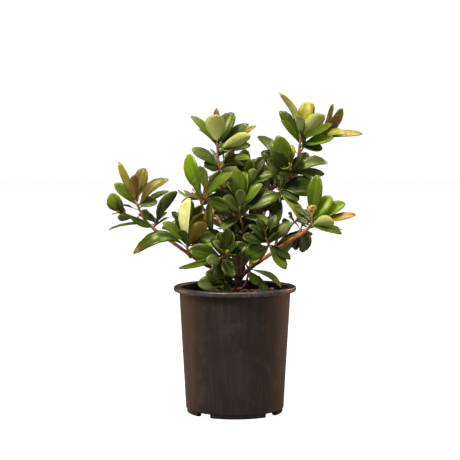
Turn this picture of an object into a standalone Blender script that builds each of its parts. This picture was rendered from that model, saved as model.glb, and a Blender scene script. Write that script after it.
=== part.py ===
"""Indian hawthorn shrub in its black nursery pot, in metres, +Z up, front towards -Y.

The origin is the middle of the pot's flat underside. Limbs follow smooth routes through a few chosen
points. Each mass of foliage grows from its bough's tip: shoots, aimed leaves, then leaves dealt round
the shoot by the golden angle. A leaf that would leave the mass's space by more than a little, or touch
a limb or another mass, is nudged or drawn in, and skipped where that does not help.
"""

import math
import random

import bmesh
import bpy
import numpy as np
from mathutils import Matrix, Vector
from mathutils.bvhtree import BVHTree

MM = 0.001
GAP = 0.3 * MM

# Pot: a one gallon nursery pot with a rolled rim, a stepped foot and four drain notches
RIM_RADIUS = 82.3 * MM
RIM_TOP = 170.4 * MM
RIM_ROLL = 6.4 * MM
BODY_TOP_RADIUS = 74.9 * MM
BODY_FOOT_RADIUS = 65.9 * MM
STEP_HEIGHT = 7.0 * MM
STEP_IN = 1.4 * MM
FOOT_ROUND = 2.0 * MM
WALL = 2.0 * MM
FLOOR = 8.5 * MM
POT_SIDES = 40
NOTCHES = 4
NOTCH_FIRST = math.radians(49.5)
NOTCH_WIDTH = 15.0 * MM
NOTCH_HEIGHT = 5.6 * MM
NOTCH_DEPTH = 11.0 * MM
DRAIN_RADIUS = 4.0 * MM
CUT_PAST = 4.0 * MM

# Soil: fills the pot to a little under the rim
SOIL_TOP = 157.0 * MM
GROUND = SOIL_TOP + GAP

# Limbs: sides of their cross sections, and rings to each stretch between two route points
TRUNK_SIDES = 10
BOUGH_SIDES = 6
TWIG_SIDES = 3
RINGS_PER_STRETCH = 2
FLARE_RADIUS = 8.0 * MM
FLARE_HEIGHT = 9.0 * MM
FOOT_RING = 1.0 * MM
STEM_START = 1.5 * MM
STEM_BEND = 0.5
SIDE_STEM_RADIUS = 1.7 * MM
SIDE_SHOOT_RADIUS = 1.6 * MM
SHOOT_TIP_RADIUS = 1.3 * MM

# Leaves: leathery, widest beyond the middle, bowed along and folded a little at the midrib
LEAF_STATIONS = (0.17, 0.52, 0.85)
LEAF_WIDTHS = (0.16, 0.98, 0.78)
LEAF_BROAD = 1.15
LEAF_THICK = 0.020
LEAF_FOLD = math.radians(16)
LEAF_BOW = 0.12
DEALT_WIDTHS = (0.40, 0.50)
DEALT_LENGTHS = (0.78, 1.06)
DEALT_OPENINGS = (95, 40)
DEALT_WAVER = 10
DEALT_FAVOUR = 0.55
DEALT_SPREAD = 30 * MM
ROOT_SPACING = 1.8 * MM
FIRST_ROOT = 3.0 * MM
GOLDEN_ANGLE = math.radians(137.5)

# What a leaf keeps clear of, and how it may be drawn in or nudged to do so
LIMB_CLEAR = 1.1 * MM
LET_OUT = 14.0 * MM
SWELL = 1.0 * MM
SOIL_CLEAR = 1.5 * MM
RIM_CLEAR = 1.5 * MM
LEAF_TRIES = (1, 0.9, 0.8)
NUDGES = (0, 0.14, 0.28)
SEAM = 0.002 * MM
VIEWER = Vector((0, -1, 0))
BARK = (0.105, 0.062, 0.042)
LEAF_GREEN = (0.075, 0.130, 0.030)

# Each limb: the limb it leaves, thickness at its start and its end, and its route, in millimetres
TRUNK = dict(
    thick=9.6, thin=7.6, route=((0, 0, GROUND / MM), (1.5, 0, 166), (4.5, 0, 176), (7, 0, 185))
)
BOUGHS = {
    "bough_left_leader": dict(
        off="trunk", thick=5.2, thin=4.0,
        route=((5, 0, 178), (4, 3, 198), (4, 6, 220), (-3, 10, 245), (-13, 12, 278), (-18, 11, 300),
               (-20, 10.5, 316)),
    ),
    "bough_right_leader": dict(
        off="trunk", thick=5.6, thin=4.2,
        route=((8, 0, 180), (11, -3, 200), (11.5, -3, 220), (14, 0, 244), (22, 5, 269), (46, 14, 299),
               (57, 17, 304)),
    ),
    "bough_lower_left": dict(
        off="trunk", thick=5.4, thin=4.0,
        route=((2.5, 0, 168), (-6, -3, 178), (-17, -6, 189), (-39, -11, 200), (-59, -15, 213),
               (-78, -18, 227), (-104, -22, 246)),
    ),
    "bough_lower_right": dict(
        off="trunk", thick=5.6, thin=4.0,
        route=((6, 0, 180), (14, -6, 189), (25.5, -9, 199), (49.5, -16, 216), (71, -21, 232),
               (88, -25, 242), (97, -27, 250)),
    ),
    "bough_centre": dict(
        off="bough_right_leader", thick=4.0, thin=3.4,
        route=((12.2, -2.4, 230), (12.5, -7, 238), (11, -9, 248), (9, -9, 256)),
    ),
    "bough_mid_right": dict(
        off="bough_lower_right", thick=3.6, thin=3.0,
        route=((50, -16, 216.5), (56, -10, 232), (58, -5, 250), (58.5, -3, 264), (60, 0, 280)),
    ),
    "bough_left_inner": dict(
        off="bough_lower_left", thick=3.8, thin=3.4,
        route=((-59, -15, 210), (-61.5, -19, 215), (-62.5, -21, 219)),
    ),
    "bough_right_low": dict(
        off="bough_lower_right", thick=3.2, thin=2.8,
        route=((78, -22.5, 237), (82, -15, 239), (85, -9, 242)),
    ),
    "bough_front_left": dict(
        off="bough_lower_left", thick=3.6, thin=2.6,
        route=((-16, -5.8, 188.5), (-19, -18, 196), (-20, -32, 204), (-18, -45, 210)),
    ),
    "bough_front_right": dict(
        off="bough_lower_right", thick=3.6, thin=2.6,
        route=((27, -9.5, 200.5), (33, -20, 208), (40, -34, 219), (43, -44, 226)),
    ),
    "bough_back_left": dict(
        off="bough_left_leader", thick=4.2, thin=2.6,
        route=((4, 4.5, 210), (-3, 20, 224), (-16, 43, 246), (-31, 64, 270), (-38, 73, 284)),
    ),
    "bough_back_right": dict(
        off="bough_right_leader", thick=4.2, thin=2.6,
        route=((11.4, -3, 212), (20, 18, 226), (33, 42, 248), (44, 64, 272), (48, 73, 286)),
    ),
    "bough_back_high": dict(
        off="bough_right_leader", thick=3.6, thin=2.6,
        route=((20, 4, 264), (21, 16, 280), (18, 34, 298), (14, 48, 314)),
    ),
    "bough_side_left": dict(
        off="bough_lower_left", thick=3.6, thin=2.6,
        route=((-38, -10.6, 198), (-46, 6, 210), (-58, 26, 226), (-65, 37, 238)),
    ),
    "bough_side_right": dict(
        off="bough_lower_right", thick=3.6, thin=2.6,
        route=((47, -15, 214.5), (56, 2, 224), (68, 24, 236), (75, 36, 246)),
    ),
    "bough_back_low": dict(
        off="trunk", thick=4.2, thin=2.6,
        route=((3, 0.5, 172), (3, 16, 184), (0, 40, 200), (-4, 62, 216), (-6, 74, 228)),
    ),
}

# Each shoot: its tip, the middle and the room of the space that it keeps to, in millimetres, and the
# leaves aimed from it, lowest first. An aim is the leaf's bearing from straight up to the right, its
# lean to the front, its length and width in millimetres, how far its upper side turns to the front,
# and its bow where that is strong. dealt is how many more leaves the golden angle deals round the
# shoot, their length, and the bearing and lean of the side that they favour. A side shoot also has
# the share of the mass's stem at which it forks.
MASSES = {
    "leaves_upper_left": dict(
        bough="bough_left_leader",
        shoots=(
            dict(
                tip=(-24, 7, 362), middle=(-24, 8, 382), room=56, dealt=(4, 34, 40, -80),
                aims=((55, -20, 67, 10, 0.9), (62, 18, 52, 16, -2.0), (73, 5, 45, 14, 1.5),
                      (64, 0, 54, 16, 1.2), (-40, -5, 55, 12, 0.6, 0.4), (24, -12, 51, 22, 2.5),
                      (-5, 22, 44, 25, 0), (1, -16, 48, 9, 0)),
            ),
            dict(
                fork=0.1, tip=(-14, 10, 334), middle=(-10, 12, 344), room=44, dealt=(5, 38, 20, -50),
                aims=((170, 30, 24, 14, 1.0), (-95, 22, 26, 20, 1.0), (-56, 12, 47, 15, 1.2), (75, 15, 41, 17, 0.8, 0.35),
                      (36, 10, 30, 13, 1.4), (66, 32, 36, 16, -1.5)),
            ),
        ),
    ),
    "leaves_centre": dict(
        bough="bough_centre",
        shoots=(
            dict(
                tip=(7, -6, 277), middle=(6, -14, 284), room=50, dealt=(7, 40, 0, 30),
                aims=((-119, 30, 34, 16, 0.8), (-68, 25, 34, 16, 0.9), (104, 25, 46, 16, 1.0),
                      (-45, 30, 36, 18, 1.5), (65, 10, 58, 19, 1.5), (38, 5, 46, 17, 1.5),
                      (8, -8, 52, 15, 2.5), (-6, 4, 53, 19, 2.5)),
            ),
            dict(
                fork=0.3, tip=(17, 12, 310), middle=(18, 13, 318), room=50, dealt=(8, 42, 0, -30),
                aims=((-62, 8, 34, 11, 0.5), (100, 25, 36, 15, 1.2), (66, 15, 42, 17, 1.4),
                      (8, 12, 34, 16, 2.0), (36, -4, 42, 17, 2.0), (-24, -10, 42, 16, 2.0)),
            ),
            dict(
                fork=0.15, tip=(-45, -14, 291), middle=(-54, -14, 312), room=54, dealt=(6, 42, 0, 20),
                aims=((177, 15, 42, 19, 0.9), (145, 5, 42, 16, 1.4), (110, 25, 38, 18, 1.0),
                      (88, 0, 42, 18, 1.4),
                      (-70, 15, 30, 12, 0.5), (49, 10, 52, 15, 0.9), (-18, -8, 60, 20, 2.0)),
            ),
        ),
    ),
    "leaves_upper_right": dict(
        bough="bough_right_leader",
        shoots=(
            dict(
                tip=(89, 23, 372), middle=(86, 22, 396), room=56, dealt=(4, 38, -10, -50),
                aims=((95, 5, 31, 14, 1.2), (76, 20, 49, 15, 1.5),
                      (-39, 8, 41, 16, 1.0), (60, 25, 54, 13, 1.0), (-35, -12, 50, 18, 1.2),
                      (41, 14, 48, 22, -2.0), (20, -20, 53, 13, 1.0), (-26, 4, 67, 14, -0.6, 0.45),
                      (12, -8, 48, 18, 2.0)),
            ),
            dict(
                fork=0.6, tip=(114, 26, 369), middle=(124, 26, 384), room=56, dealt=(4, 36, 20, -50),
                aims=((82, 0, 66, 12, 0.9, 0.25), (76, 14, 44, 15, 1.2), (53, 12, 45, 17, 1.5),
                      (46, -8, 55, 15, 1.4), (24, -14, 51, 10, 0.5)),
            ),
            dict(
                fork=0.18, tip=(72, 6, 327), middle=(58, 6, 346), room=50, dealt=(5, 40, -20, 20),
                aims=((-41, -12, 70, 13, 0.5, 1.3), (-52, -4, 50, 18, 1.0), (73, 0, 52, 15, 0.8, 1.0),
                      (107, 12, 46, 11, 0.6, 0.4), (-63, 35, 42, 18, 1.2), (-45, 30, 46, 19, 1.8),
                      (-35, 12, 50, 22, 1.5), (8, -10, 34, 13, 0.6)),
            ),
        ),
    ),
    "leaves_mid_right": dict(
        bough="bough_mid_right",
        shoots=(
            dict(
                tip=(61, 1, 304), middle=(78, 4, 292), room=50, dealt=(6, 38, 0, -60),
                aims=((144, 15, 54, 15, 1.0, 0.3), (-167, 25, 50, 15, 0.9), (-140, 10, 38, 17, 1.4),
                      (118, 22, 30, 13, 1.2),
                      (92, -6, 45, 28, 1.2), (66, -15, 54, 15, 0.8)),
            ),
        ),
    ),
    "leaves_right": dict(
        bough="bough_lower_right",
        shoots=(
            dict(
                tip=(102, -28, 264), middle=(122, -32, 280), room=54, dealt=(5, 34, 0, -70),
                aims=((102, 12, 43, 12, 1.0), (92, 30, 38, 16, -1.5), (78, 0, 60, 12, 0.6, 0.1),
                      (60, -10, 52, 17, 1.3), (38, -5, 42, 18, 1.5), (9, -14, 60, 19, 2.0),
                      (18, 22, 26, 16, 0)),
            ),
        ),
    ),
    "leaves_right_low": dict(
        bough="bough_right_low",
        shoots=(
            dict(
                tip=(89, -3, 249), middle=(98, -4, 236), room=50, dealt=(3, 30, 0, -60),
                aims=((-135, -22, 51, 28, 0.8), (86, 8, 56, 12, 0.8, 0.3), (166, -30, 36, 22, 1.8),
                      (-150, -28, 42, 22, 1.8)),
            ),
        ),
    ),
    "leaves_far_left": dict(
        bough="bough_lower_left",
        shoots=(
            dict(
                tip=(-132, -26, 287), middle=(-130, -24, 302), room=56, dealt=(3, 32, 10, -80),
                aims=((58, -12, 46, 11, 0.6), (47, 6, 55, 18, 1.0, 0.5), (-47, 8, 43, 18, 1.2),
                      (78, 26, 29, 15, 1.5, 0.3), (-22, -6, 60, 9, 0.8), (13, -10, 47, 18, 2.0),
                      (-2, 18, 37, 12, -2.0)),
            ),
            dict(
                fork=0.06, tip=(-148, -28, 270), middle=(-154, -28, 268), room=56,
                dealt=(3, 26, 0, -70),
                aims=((116, 12, 37, 9, 0.8), (-36, 5, 33, 21, 1.5),
                      (-10, 34, 24, 13, 1.2)),
            ),
            dict(
                fork=0.02, tip=(-104, -18, 258), middle=(-104, -16, 262), room=40,
                dealt=(3, 30, 20, -50),
                aims=((-87, 14, 62, 12, 0.6, 0.2), (-48, 8, 26, 13, 1.2), (37, -5, 50, 14, 0.6, 0.95)),
            ),
        ),
    ),
    "leaves_left_inner": dict(
        bough="bough_left_inner",
        shoots=(
            dict(
                tip=(-63, -22, 232), middle=(-72, -24, 236), room=58, dealt=(4, 36, -30, 30),
                aims=((-93, 8, 72, 19, 0.6, 1.6), (3, 10, 68, 24, 1.0), (25, 26, 46, 19, -2.5),
                       (87, 12, 56, 13, 0.9, 0.2), (-46, 8, 45, 17, 1.0),
                      (66, 4, 49, 22, 1.5), (45, -10, 48, 25, 0.8), (-25, -25, 50, 18, 0.9),
                      (-17, -15, 54, 18, 0.8)),
            ),
        ),
    ),
    "leaves_front_left": dict(
        bough="bough_front_left",
        shoots=(
            dict(
                tip=(-15, -54, 216), middle=(-16, -64, 214), room=42, dealt=(8, 38, 0, 20),
                aims=((-102, 18, 63, 8, 0.7, 0.8), (-160, 30, 32, 17, 0.9), (150, 35, 34, 18, 0.6),
                      (-76, 14, 46, 20, 1.2),
                      (62, 20, 38, 18, 0.9), (8, 10, 38, 16, 1.2)),
            ),
        ),
    ),
    "leaves_front_right": dict(
        bough="bough_front_right",
        shoots=(
            dict(
                tip=(42, -50, 238), middle=(44, -62, 238), room=42, dealt=(7, 36, 10, 10),
                aims=((-112, 15, 34, 22, 1.2), (144, 16, 40, 14, 0.9), (124, 14, 36, 11, 0.7),
                      (-76, 14, 36, 15, 1.3), (50, 5, 41, 14, 1.3), (18, -4, 35, 12, 1.2),
                      (-28, 14, 32, 14, 1.4)),
            ),
        ),
    ),
    "leaves_low_left": dict(
        bough="trunk", leaves_at=(-1.8, -4.2, 165.5),
        shoots=(
            dict(
                tip=(-14, -26, 180), middle=(-26, -38, 172), room=36, dealt=(4, 28, -40, 30),
                aims=((-88, 12, 38, 18, 1.3), (-60, 18, 31, 20, 1.5), (165, 25, 22, 12, 0.9),
                      (50, 20, 22, 11, 1.0)),
            ),
        ),
    ),
    "leaves_low_right": dict(
        bough="trunk", leaves_at=(4.6, -4.9, 167),
        shoots=(
            dict(
                tip=(20, -25, 196), middle=(36, -38, 182), room=38, dealt=(2, 24, 40, 60),
                aims=((150, 30, 22, 12, 0.9), (136, 14, 40, 11, 0.8), (117, 8, 48, 10, 0.4, 0.45)),
            ),
        ),
    ),
    "leaves_back_left": dict(
        bough="bough_back_left",
        shoots=(
            dict(tip=(-26, 86, 294), middle=(-26, 92, 302), room=54, dealt=(14, 42, 10, -60), aims=()),
            dict(
                fork=0.3, tip=(-52, 78, 262), middle=(-58, 86, 258), room=42, dealt=(8, 38, 0, -75),
                aims=(),
            ),
        ),
    ),
    "leaves_back_right": dict(
        bough="bough_back_right",
        shoots=(
            dict(tip=(52, 84, 306), middle=(52, 90, 314), room=56, dealt=(14, 44, 0, -40), aims=()),
            dict(
                fork=0.3, tip=(66, 78, 300), middle=(72, 84, 298), room=48, dealt=(9, 40, 10, -60),
                aims=(),
            ),
        ),
    ),
    "leaves_back_high": dict(
        bough="bough_back_high",
        shoots=(
            dict(tip=(11, 62, 312), middle=(10, 66, 316), room=48, dealt=(13, 42, 0, -50), aims=()),
        ),
    ),
    "leaves_side_left": dict(
        bough="bough_side_left",
        shoots=(
            dict(tip=(-66, 48, 248), middle=(-72, 50, 246), room=46, dealt=(12, 40, -20, -50), aims=()),
        ),
    ),
    "leaves_side_right": dict(
        bough="bough_side_right",
        shoots=(
            dict(tip=(102, 54, 260), middle=(110, 58, 262), room=42, dealt=(12, 32, 50, -50), aims=()),
        ),
    ),
    "leaves_back_low": dict(
        bough="bough_back_low",
        shoots=(
            dict(tip=(-10, 88, 246), middle=(-12, 98, 246), room=50, dealt=(13, 42, -20, -50), aims=()),
            dict(
                fork=0.3, tip=(26, 84, 228), middle=(34, 94, 224), room=44, dealt=(8, 38, 30, -50),
                aims=(),
            ),
        ),
    ),
}


def clear_scene():
    for obj in list(bpy.data.objects):
        bpy.data.objects.remove(obj, do_unlink=True)


def new_collection(name, hidden=False):
    made = bpy.data.collections.new(name)
    made.hide_render = hidden
    bpy.context.scene.collection.children.link(made)
    return made


def new_object(name, bm, collection):
    mesh = bpy.data.meshes.new(name)
    bm.to_mesh(mesh)
    bm.free()
    obj = bpy.data.objects.new(name, mesh)
    collection.objects.link(obj)
    return obj


def material(name, colour, roughness):
    made = bpy.data.materials.new(name)
    made.use_nodes = True
    surface = made.node_tree.nodes["Principled BSDF"]
    surface.inputs["Base Color"].default_value = (*colour, 1)
    surface.inputs["Roughness"].default_value = roughness
    surface.inputs["Metallic"].default_value = 0
    made.diffuse_color = (*colour, 1)
    return made


def turned(name, profile, sides, collection):
    """A profile of (radius, height) points on the axis at both ends, turned once round Z."""
    bm = bmesh.new()
    line = [bm.verts.new((radius, 0, height)) for radius, height in profile]
    edges = [bm.edges.new(pair) for pair in zip(line, line[1:])]
    bmesh.ops.spin(
        bm, geom=line + edges, axis=(0, 0, 1), cent=(0, 0, 0),
        angle=2 * math.pi, steps=sides, use_merge=True,
    )
    bmesh.ops.remove_doubles(bm, verts=bm.verts, dist=1e-6)
    bmesh.ops.recalc_face_normals(bm, faces=bm.faces)
    return new_object(name, bm, collection)


def cut(obj, cutter):
    cutter.display_type = "WIRE"
    cutter.hide_render = True
    modifier = obj.modifiers.new("cut by " + cutter.name, "BOOLEAN")
    modifier.operation = "DIFFERENCE"
    modifier.solver = "EXACT"
    modifier.object = cutter


def smooth_round(obj, angle=math.radians(40)):
    obj.data.shade_smooth()
    obj.data.set_sharp_from_angle(angle=angle)


def wall_radius(height):
    """The pot's outer radius at a height between the step and the rim."""
    share = (height - STEP_HEIGHT) / (RIM_TOP - RIM_ROLL - STEP_HEIGHT)
    return BODY_FOOT_RADIUS + share * (BODY_TOP_RADIUS - BODY_FOOT_RADIUS)


def pot_profile():
    foot = BODY_FOOT_RADIUS - STEP_IN
    points = [(0, 0), (foot - FOOT_ROUND, 0), (foot, FOOT_ROUND), (foot, STEP_HEIGHT - STEP_IN)]
    points += [(BODY_FOOT_RADIUS, STEP_HEIGHT), (BODY_TOP_RADIUS, RIM_TOP - RIM_ROLL)]
    half = RIM_ROLL / 2
    for step in range(5):
        angle = math.pi * (step / 4 - 0.5)
        level, height = half * math.cos(angle), half * math.sin(angle)
        points.append((RIM_RADIUS - half + level, RIM_TOP - half + height))
    inside = wall_radius(RIM_TOP - RIM_ROLL) - WALL
    points += [(inside + WALL, RIM_TOP), (inside, RIM_TOP - WALL)]
    points += [(wall_radius(FLOOR) - WALL, FLOOR), (0, FLOOR)]
    return points


def make_pot(parts, cutters):
    pot = turned("pot", pot_profile(), POT_SIDES, parts)
    for number in range(NOTCHES):
        angle = NOTCH_FIRST + number * 2 * math.pi / NOTCHES
        turn = Matrix.Rotation(angle, 4, "Z")
        bm = bmesh.new()
        reach = NOTCH_DEPTH + CUT_PAST
        middle = BODY_FOOT_RADIUS + CUT_PAST - reach / 2
        tall = NOTCH_HEIGHT + CUT_PAST
        place = turn @ Matrix.Translation((middle, 0, NOTCH_HEIGHT - tall / 2))
        bmesh.ops.create_cube(bm, size=1, matrix=place @ Matrix.Diagonal((reach, NOTCH_WIDTH, tall, 1)))
        cut(pot, new_object(f"notch_{number + 1}", bm, cutters))
        bm = bmesh.new()
        hole = turn @ Matrix.Translation((BODY_FOOT_RADIUS - NOTCH_DEPTH / 2 - WALL, 0, FLOOR))
        bmesh.ops.create_cone(
            bm, cap_ends=True, segments=12, radius1=DRAIN_RADIUS, radius2=DRAIN_RADIUS,
            depth=2 * (FLOOR - NOTCH_HEIGHT) + CUT_PAST / 2, matrix=hole,
        )
        cut(pot, new_object(f"drain_{number + 1}", bm, cutters))
    pot.data.materials.append(material("black plastic", (0.030, 0.026, 0.024), 0.48))
    smooth_round(pot)
    return pot


def make_soil(parts):
    low, high = FLOOR + GAP, SOIL_TOP
    foot, brim = wall_radius(low) - WALL - GAP, wall_radius(high) - WALL - GAP
    soil = turned("soil", [(0, low), (foot, low), (brim, high), (0, high)], POT_SIDES, parts)
    soil.data.materials.append(material("potting soil", (0.030, 0.018, 0.011), 0.95))
    smooth_round(soil)
    return soil


def smooth_route(points, per_stretch=RINGS_PER_STRETCH):
    """Points along a Catmull-Rom curve through the given ones."""
    row = [2 * points[0] - points[1], *points, 2 * points[-1] - points[-2]]
    route = []
    for a, b, c, d in zip(row, row[1:], row[2:], row[3:]):
        for step in range(per_stretch):
            t = step / per_stretch
            square = (2 * a - 5 * b + 4 * c - d) * t**2
            cube = (3 * b - a - 3 * c + d) * t**3
            route.append((2 * b + (c - a) * t + square + cube) / 2)
    return route + [points[-1]]


def directions_along(route):
    ends = [route[0]] + list(route) + [route[-1]]
    return [(after - before).normalized() for before, after in zip(ends, ends[2:])]


def tube(route, radii, sides):
    """A closed tube round a route: one ring of vertices a point, bridged to the next."""
    bm = bmesh.new()
    turn = Vector((0, 0, 1)).rotation_difference(directions_along(route)[0])
    last_direction = directions_along(route)[0]
    ring_before = None
    for number, (point, direction, radius) in enumerate(zip(route, directions_along(route), radii)):
        turn = last_direction.rotation_difference(direction) @ turn
        last_direction = direction
        place = Matrix.Translation(point) @ turn.to_matrix().to_4x4()
        capped = number in (0, len(route) - 1)
        made = bmesh.ops.create_circle(bm, cap_ends=capped, segments=sides, radius=radius, matrix=place)
        ring = list({edge for vert in made["verts"] for edge in vert.link_edges})
        if ring_before:
            bmesh.ops.bridge_loops(bm, edges=ring_before + ring)
        ring_before = ring
    bmesh.ops.triangulate(bm, faces=bm.faces)
    return facing_out(bm)


def facing_out(bm):
    bmesh.ops.recalc_face_normals(bm, faces=bm.faces)
    if bm.calc_volume(signed=True) < 0:
        bmesh.ops.reverse_faces(bm, faces=bm.faces)
    return bm


def limb_shape(spec):
    """A limb's smooth route, and its radius at each point of it."""
    route = smooth_route([Vector(point) * MM for point in spec["route"]])
    return route, tapering(spec["thick"] * MM / 2, spec["thin"] * MM / 2, len(route))


def tapering(first, last, count):
    return [first + (last - first) * number / (count - 1) for number in range(count)]


def flared(route, radii):
    """The trunk's radii, widened towards its foot."""
    widened = []
    for point, radius in zip(route, radii):
        above = (point.z - GROUND) / FLARE_HEIGHT
        widened.append(radius + (FLARE_RADIUS - radius) * math.exp(-3 * above))
    return widened


def limb_shapes():
    shapes = {"trunk": limb_shape(TRUNK)}
    shapes["trunk"] = (shapes["trunk"][0], flared(*shapes["trunk"]))
    for name, spec in BOUGHS.items():
        shapes[name] = limb_shape(spec)
    return shapes


def make_limb(name, shape, parts):
    bm = tube(*shape, TRUNK_SIDES if name == "trunk" else BOUGH_SIDES)
    if name == "trunk":
        for vert in bm.verts:
            if vert.co.z < GROUND + FOOT_RING:
                vert.co.z = GROUND
    limb = new_object(name, bm, parts)
    limb.data.materials.append(material("bark of " + name, BARK, 0.8))
    smooth_round(limb)
    return limb


def make_limbs(limbs, parts, cutters):
    """The trunk, then each bough, cut 0.3 mm clear of every earlier limb that it meets."""
    made = []
    for name, shape in limbs.items():
        limb = make_limb(name, shape, parts)
        for other in made:
            if meets(shape, limbs[other]):
                route, radii = limbs[other]
                swollen = tube(stretched(route, GAP), [radius + GAP for radius in radii], 2 * BOUGH_SIDES)
                cut(limb, new_object(f"{name}_clear_of_{other}", swollen, cutters))
        made.append(name)


def stretched(route, by):
    first = route[0] + (route[0] - route[1]).normalized() * by
    last = route[-1] + (route[-1] - route[-2]).normalized() * by
    return [first, *route[1:-1], last]


def meets(shape, other):
    """Whether two limbs' tubes come within a gap of touching."""
    route, radii = shape
    points = np.array([tuple(point) for point in route])
    return limb_distance(points, np.array(radii), other) < 2 * GAP


def limb_distance(points, reach, limb):
    """The least distance from a set of balls to a limb's surface."""
    route, radii = limb
    start = np.array([tuple(point) for point in route[:-1]])
    end = np.array([tuple(point) for point in route[1:]])
    along = end - start
    offset = points[:, None, :] - start[None]
    share = np.clip((offset * along).sum(-1) / (along * along).sum(-1), 0, 1)
    nearest = start + share[..., None] * along
    radius = np.array(radii[:-1]) * (1 - share) + np.array(radii[1:]) * share
    gap = np.linalg.norm(points[:, None, :] - nearest, axis=-1) - radius - np.reshape(reach, (-1, 1))
    return gap.min()


def aimed(bearing, lean):
    """The direction at a bearing from straight up to the right, leaning to the front."""
    bearing, lean = math.radians(bearing), math.radians(lean)
    flat = Vector((math.sin(bearing), 0, math.cos(bearing)))
    return (flat * math.cos(lean) + VIEWER * math.sin(lean)).normalized()


def upper_side(direction, axis, face):
    """The way a leaf's upper side looks: in and up the shoot, turned to the front by face."""
    outward = (direction - axis * direction.dot(axis)).normalized()
    opening = direction.angle(axis)
    side = axis * math.sin(opening) - outward * math.cos(opening) + VIEWER * face
    side -= direction * side.dot(direction)
    return side.normalized()


def leaf_point(leaf, along, across, thick, thicker=0):
    """A point of the leaf: along from root to tip, across from -1 to 1, thick from -1 to 1."""
    root, direction, side, length, width, bow = leaf
    sideways = direction.cross(side)
    half = width / 2 * np.interp(along, (0, *LEAF_STATIONS, 1), (0, *LEAF_WIDTHS, 0))
    lift = length * bow * along * (1 - along) + abs(across) * half * math.sin(LEAF_FOLD)
    body = (length * LEAF_THICK / 2 + thicker) * thick * (1 if 0 < along < 1 else 0)
    return root + direction * (length * along) + side * (lift + body) + sideways * (
        across * half * math.cos(LEAF_FOLD)
    )


def leaf_mesh(leaf, thicker=0):
    """A ball of three segments and four rings, its poles drawn out to the leaf's root and tip.

    Each ring becomes the blade's two edges and the rib under it.
    """
    bm = bmesh.new()
    bmesh.ops.create_uvsphere(bm, u_segments=3, v_segments=4, radius=1)
    shares = (0, *LEAF_STATIONS, 1)
    for vert in bm.verts:
        ring = round(4 * math.acos(max(-1, min(1, vert.co.z))) / math.pi)
        corner = round(3 * math.atan2(vert.co.y, vert.co.x) / (2 * math.pi)) % 3
        across, thick = ((0, -1), (1, 0), (-1, 0))[corner]
        vert.co = leaf_point(leaf, shares[ring], across, thick, thicker)
    bmesh.ops.triangulate(bm, faces=bm.faces)
    return facing_out(bm)


def leaf_samples(leaf):
    grid = [
        leaf_point(leaf, along, across, thick)
        for along in np.linspace(0, 1, 15)
        for across in np.linspace(-1, 1, 7)
        for thick in (-1, 1)
    ]
    return np.array([tuple(point) for point in grid])


def nearness(points, shoot):
    """How near each point is to a shoot's space: its squared distance, less the room's."""
    away = points - np.array(shoot["middle"]) * MM
    return (away * away).sum(1) - (shoot["room"] * MM) ** 2


def in_space(points, name):
    """Whether every point is in this mass's space, or not far into a neighbour's."""
    own = np.min([nearness(points, shoot) for shoot in MASSES[name]["shoots"]], axis=0)
    home = np.mean([shoot["middle"] for shoot in MASSES[name]["shoots"]], axis=0)
    for other, spec in MASSES.items():
        if other == name:
            continue
        for shoot in spec["shoots"]:
            apart = np.linalg.norm(home - shoot["middle"]) * MM
            if (nearness(points, shoot) - own).min() < -2 * apart * LET_OUT:
                return False
    return True


def clear_of_pot(points):
    level = np.hypot(points[:, 0], points[:, 1])
    inside = level < wall_radius(SOIL_TOP) - WALL - RIM_CLEAR
    over = (level < RIM_RADIUS + RIM_CLEAR) & ~inside
    low = points[inside, 2].min(initial=1) < SOIL_TOP + SOIL_CLEAR
    return not low and points[over, 2].min(initial=1) > RIM_TOP + RIM_CLEAR


def leaf_tree(leaf, swell=0, blade=False):
    """The leaf's mesh for clearance tests, swollen where asked, or its blade without the stalk."""
    root, direction, side, length, width, bow = leaf
    bm = leaf_mesh((root, direction, side, length + swell, width + 2 * swell, bow), thicker=swell)
    if blade:
        stalk = min(bm.verts, key=lambda vert: (vert.co - root).length)
        bmesh.ops.delete(bm, geom=[stalk], context="VERTS")
    tree = BVHTree.FromBMesh(bm)
    bm.free()
    return tree


def fits(leaf, name, limbs, stands, own):
    """Whether a leaf keeps to its mass's space, clear of pot, limbs and other leaves."""
    points = leaf_samples(leaf)
    if not in_space(points, name) or not clear_of_pot(points):
        return False
    if any(limb_distance(points, 0, limb) < LIMB_CLEAR for limb in limbs):
        return False
    swollen = leaf_tree(leaf, SWELL)
    if any(swollen.overlap(tree) for other, trees in stands.items() if other != name for tree in trees):
        return False
    blade = leaf_tree(leaf, blade=True)
    return not any(blade.overlap(tree) for tree in own)


def shoot_route(start, heading, tip):
    """On in the given direction, then bending up to the shoot's tip."""
    away = start + heading * STEM_START
    bend = away + heading * (tip - away).length * STEM_BEND
    curve = [away.lerp(bend, share).lerp(bend.lerp(tip, share), share) for share in (0, 0.25, 0.5)]
    return [start, *curve, curve[-1].lerp(tip, 0.5), tip]


def at_share(route, share):
    """The point and direction at a share of a route's length."""
    lengths = [(b - a).length for a, b in zip(route, route[1:])]
    left = share * sum(lengths)
    for (a, b), length in zip(zip(route, route[1:]), lengths):
        if left <= length:
            return a.lerp(b, left / length), (b - a).normalized()
        left -= length
    return route[-1], (route[-1] - route[-2]).normalized()


def root_at(route, share, spread):
    """A leaf's root and the shoot's direction there: a share of the way up the shoot's leafy stretch."""
    length = sum((b - a).length for a, b in zip(route, route[1:]))
    leafy = min(spread, length - FIRST_ROOT)
    return at_share(route, 1 - leafy * (1 - share) / length)


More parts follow.
